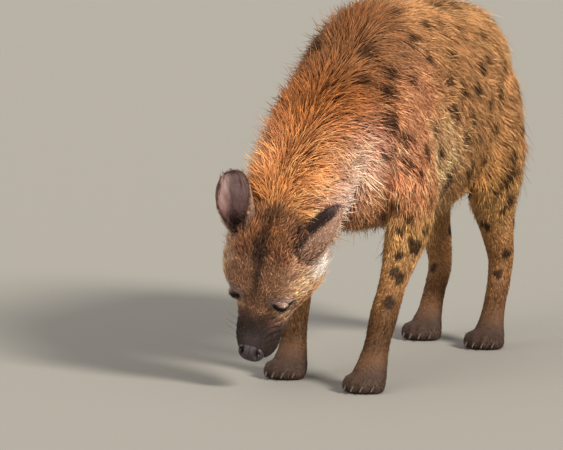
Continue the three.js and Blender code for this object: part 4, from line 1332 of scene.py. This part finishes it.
on_nose = np.linalg.norm(roots - on_head(*BARE_NOSE["place"]), axis=1) < BARE_NOSE["radius"]
on_sole = (roots[:, 2] < BARE_SOLE["under"]) & (normals[:, 2] < BARE_SOLE["facing"])
hairs = (normals * np.sin(shape[:, 2:3]) * 0.6 + lie * np.cos(shape[:, 2:3])) * shape[:, :1]
in_an_ear = crosses_ear(roots, root_kind, hairs, 1) | crosses_ear(roots, root_kind, hairs, -1)
kept = ~(on_nose | on_sole | in_an_ear)
roots, normals, lie, root_kind, shape, guard = (
    each[kept] for each in (roots, normals, lie, root_kind, shape, guard))

# Clumps, and the chart of places along and round each part for the OFBake map.
where = places(roots)
long_coat = (shape[:, 0] > LONG_COAT)[:, None]
clump = np.where(long_coat, clumped(roots, CLUMP_ROOM["long"]), clumped(roots, CLUMP_ROOM["short"]))
part = nearest_part(where)
picked = (part, np.arange(len(part)))
chart = np.stack([where["along"][picked], where["angle"][picked]], 1)

# Colours: the markings under each tuft's middle, lighter or darker by clump, grizzled on the head. The tips
# are golden, some of them dark, most on the nape and crown, and some on the head pale.
hanging = lie * np.where(shape[:, 0] > 12, 0.45 * shape[:, 0], 0)[:, None]
shade = np.exp(0.3 * ripple(clump, 9, 52) + 0.07 * ripple(roots, 60, 53))
in_head = where["share"][HEAD_PARTS].sum(0)
grizzle = np.exp(chance.normal(-0.12, 0.36, len(roots)) * in_head)
tones = all_tones(roots + hanging, root_kind, where) * (shade * grizzle)[:, None]
on_nape = bell((where["angle"][PART["neck"]] - np.pi / 2) / 0.4) * where["share"][PART["neck"]]
dark_tip = step(0.55, 0.9, chance.random(len(roots))) * (0.25 + 0.6 * on_nape)
on_crown = (part == PART["head"]) * step(190, 230, head_places(roots)[0])
dark_tip += 0.5 * step(0.4, 0.8, chance.random(len(roots))) * on_crown
pale_tip = (step(0.45, 0.7, chance.random(len(roots))) * in_head)[:, None]
gold = 0.5 + 0.5 * ripple(clump, 40, 51)[:, None]
tips = tones * (1.1 + 0.4 * gold + 1.1 * pale_tip) + 0.03 * pale_tip
tips = np.minimum(tips * (1 + 0.5 * guard[:, None]), 1)
tips = mixed(tips, tone("2e1d12"), np.minimum(dark_tip, 0.85))
tuft_data = (roots, normals, lie, shape, tones, tips, chart, clump)

# The coat's pieces, divided where the body's parts meet.
in_ears = root_kind == EARS
trunk = (part == PART["torso"]) & ~in_ears
nape = (part == PART["neck"]) & ~in_ears
face = np.isin(part, HEAD_PARTS) & ~in_ears
front = roots[:, 1] < COAT_PARTING
left_side = roots[:, 0] > 0
face_left = head_places(roots)[1] > 0
sided_coats = [
    ("shoulder", trunk & front, left_side, SHORT_STEPS, "coat_golden"),
    ("flank", trunk & ~front, left_side, SHORT_STEPS, "coat_golden"),
    ("neck", nape, left_side, LONG_STEPS, "coat_mane"),
    ("face", face, face_left, SHORT_STEPS, "coat_face"),
]
hair = coat_finish()
for name, chosen, on_left, steps, slot in sided_coats:
    lay_coat("coat_" + name + "_left", chosen & on_left, steps, hair)
    lay_coat("coat_" + name + "_right", chosen & ~on_left, steps, hair)
lay_coat("coat_ears", in_ears, SHORT_STEPS, hair)
lay_coat("coat_tail", (part == PART["tail"]) & ~in_ears, LONG_STEPS, hair)
for name in legs:
    lay_coat("coat_" + name, (part == PART[name]) & ~in_ears, SHORT_STEPS, hair)

# Eyes: dark brown wet balls under a clear coat. Each sits deep behind its lids and shows only as a narrow
# line between them.
EYE_ROWS = 40
EYE_SIDES = 48


def eye_finish():
    """Wet brown eye under a clear coat, darker where fine noise runs through it."""
    finish = Finish("wet_eye")
    colour = finish.tinted((0.012, 0.006, 0.004, 1), (0.07, 0.028, 0.012, 1), finish.noise(600, 3))
    return finish.surface(Base_Color=colour, Roughness=0.12, Coat_Weight=1.0, Coat_Roughness=0.03)


wet_eye = eye_finish()
for side, sign in (("left", 1), ("right", -1)):
    middle, corner, brow, out = eye_axes(sign)
    points, faces = ball(middle, np.array([corner, brow, out]), [EYE["radius"]] * 3, EYE_ROWS, EYE_SIDES)
    lay_piece("eyeball_" + side, lay_mesh("eyeball_" + side, metres(points), faces), wet_eye,
              ["eye_" + side])

# Nose: a moist pebbled pad at the tip of the muzzle. It has a groove down its middle and two tall nostrils,
# each with a slit that runs out from it.
NOSE = {"up": 13, "over": 14, "half": 27, "tall": 20, "thick": 17, "power": 0.86, "groove": 1.2}
NOSTRIL = {"across": 15, "up": -1, "long": 3.6, "tall": 8.5, "deep": 13, "slit": 0.75, "rim": 2.2}
NOSE_ROWS = 90
NOSE_SIDES = 120


def nose_pad():
    """A rounded box: a ball with its directions powered, grooved down the middle, pressed in at each nostril
    and at its slit, and raised round them."""
    rise = np.linspace(0.01, np.pi - 0.01, NOSE_ROWS)[:, None]
    turn = np.linspace(0, 2 * np.pi, NOSE_SIDES, endpoint=False)[None, :]
    c = np.stack([np.sin(rise) * np.cos(turn), np.sin(rise) * np.sin(turn), np.cos(rise) + 0 * turn], 2)
    c = np.sign(c) * np.abs(c) ** NOSE["power"]
    x, y, z = c[..., 0] * NOSE["half"], c[..., 1] * NOSE["tall"], c[..., 2] * NOSE["thick"]
    aside = np.abs(x)
    hole = bell((aside - NOSTRIL["across"]) / NOSTRIL["long"]) * bell((y - NOSTRIL["up"]) / NOSTRIL["tall"])
    slit = bell((y - NOSTRIL["up"] - 6 + 0.5 * (aside - 14)) / 2.4)
    slit = slit * step(12, 16, aside) * step(24, 20, aside)
    rim = bell((aside - NOSTRIL["across"]) / 10) * bell((y - NOSTRIL["up"]) / 10)
    face = step(-0.1, 0.5, c[..., 2])
    deep = NOSTRIL["deep"] * np.maximum(hole, NOSTRIL["slit"] * slit) * face - NOSTRIL["rim"] * rim * face
    deep += NOSE["groove"] * bell(x / 1.8) * face
    return loft(on_head(NOSE["up"] + y, x, NOSE["over"] + z) - deep[..., None] * HEAD_OVER)


def nose_finish():
    """Moist leather: nearly black, greyer on the pebbles' tops, which are cells raised by bump."""
    finish = Finish("nose_leather")
    cells = finish.node("ShaderNodeTexVoronoi", {}, {"Vector": finish.place(), "Scale": 620.0}, "Distance")
    patches = finish.noise(70, 4)
    colour = finish.tinted((0.012, 0.008, 0.009, 1), (0.075, 0.05, 0.054, 1), patches * (1 - cells))
    return finish.surface(
        Base_Color=colour, Roughness=0.4 + 0.3 * patches, Specular_IOR_Level=0.35, Coat_Weight=0.2,
        Coat_Roughness=0.3, Normal=finish.bump(1 - cells, 0.6, 0.0008))


nose_points, nose_faces = nose_pad()
nose_mesh = lay_mesh("nose_pad", metres(nose_points), nose_faces)
lay_piece("nose_pad", nose_mesh, nose_finish(), ["nose"])

# Claws: four blunt claws of dark horn on each paw. Each is rooted in the front of its toe, curves down and
# ends just above the ground.
CLAW_ROWS = 14
CLAW_SIDES = 12
CLAW = {"root": 10, "long": 22, "up": 3, "drop": 10, "base": 5.0, "tip": 1.2, "flat": 0.85, "floor": 0.6}


def claw_finish():
    """Horn: dark brown, paler in streaks along the claw."""
    finish = Finish("claw_horn")
    streak = finish.noise(260, 3)
    colour = finish.tinted((0.02, 0.014, 0.01, 1), (0.12, 0.085, 0.06, 1), streak * streak)
    return finish.surface(
        Base_Color=colour, Roughness=0.32 + 0.2 * streak, Normal=finish.bump(streak, 0.2, 0.0005))


def claw(middle):
    """A cone of rings along a falling curve, each ring smaller than the last."""
    t = np.linspace(0, 1, CLAW_ROWS)[:, None]
    turn = np.linspace(0, 2 * np.pi, CLAW_SIDES, endpoint=False)[None, :]
    size = CLAW["base"] + (CLAW["tip"] - CLAW["base"]) * t ** 1.5
    x = size * CLAW["flat"] * np.cos(turn)
    y = -(CLAW["root"] + CLAW["long"] * t) + 0 * turn
    z = CLAW["up"] - CLAW["drop"] * t * t + size * np.sin(turn)
    return loft(middle + np.stack([x, y, z], 2))


claws = [claw(middle) for leg in legs.values() for middle in toe_middles(leg)]
claw_points, claw_faces = joined(claws)
claw_points[:, 2] = np.maximum(claw_points[:, 2], CLAW["floor"])
lay_piece("claws", lay_mesh("claws", metres(claw_points), claw_faces), claw_finish())

# Studio: a plain pale floor that fills the picture, a large warm key at the animal's left, a weaker fill
# from the front and a soft sky.
FLOOR_SIZE = 160.0
LIGHTS = {
    "key": ((0.9, -0.4, 0.6), 5.0, 14, (1.0, 0.94, 0.85)),
    "fill": ((-0.4, -1.0, 0.45), 1.7, 60, (1.0, 0.98, 0.95)),
}
floor_corners = np.array([[-1, -1, 0], [1, -1, 0], [1, 1, 0], [-1, 1, 0]]) * FLOOR_SIZE / 2
floor_mesh = lay_mesh("floor", floor_corners, np.array([[0, 1, 2], [0, 2, 3]]))
floor = bpy.data.objects.new("floor", floor_mesh)
bpy.context.scene.collection.objects.link(floor)
floor_paint = Finish("pale_floor")
floor_mesh.materials.append(floor_paint.surface(Base_Color=(0.27, 0.258, 0.23, 1), Roughness=0.9))
for name, (towards, strength, softness, colour) in LIGHTS.items():
    lamp = bpy.data.lights.new(name, "SUN")
    lamp.angle = math.radians(softness)
    lamp.energy = strength
    lamp.color = colour
    holder = bpy.data.objects.new(name, lamp)
    bpy.context.scene.collection.objects.link(holder)
    holder.rotation_euler = Vector(towards).to_track_quat("Z", "Y").to_euler()
sky = bpy.data.worlds.new("studio")
sky.use_nodes = True
sky.node_tree.nodes["Background"].inputs["Color"].default_value = (1.0, 0.97, 0.94, 1)
sky.node_tree.nodes["Background"].inputs["Strength"].default_value = 0.6
bpy.context.scene.world = sky
bpy.context.scene.view_settings.view_transform = "Standard"
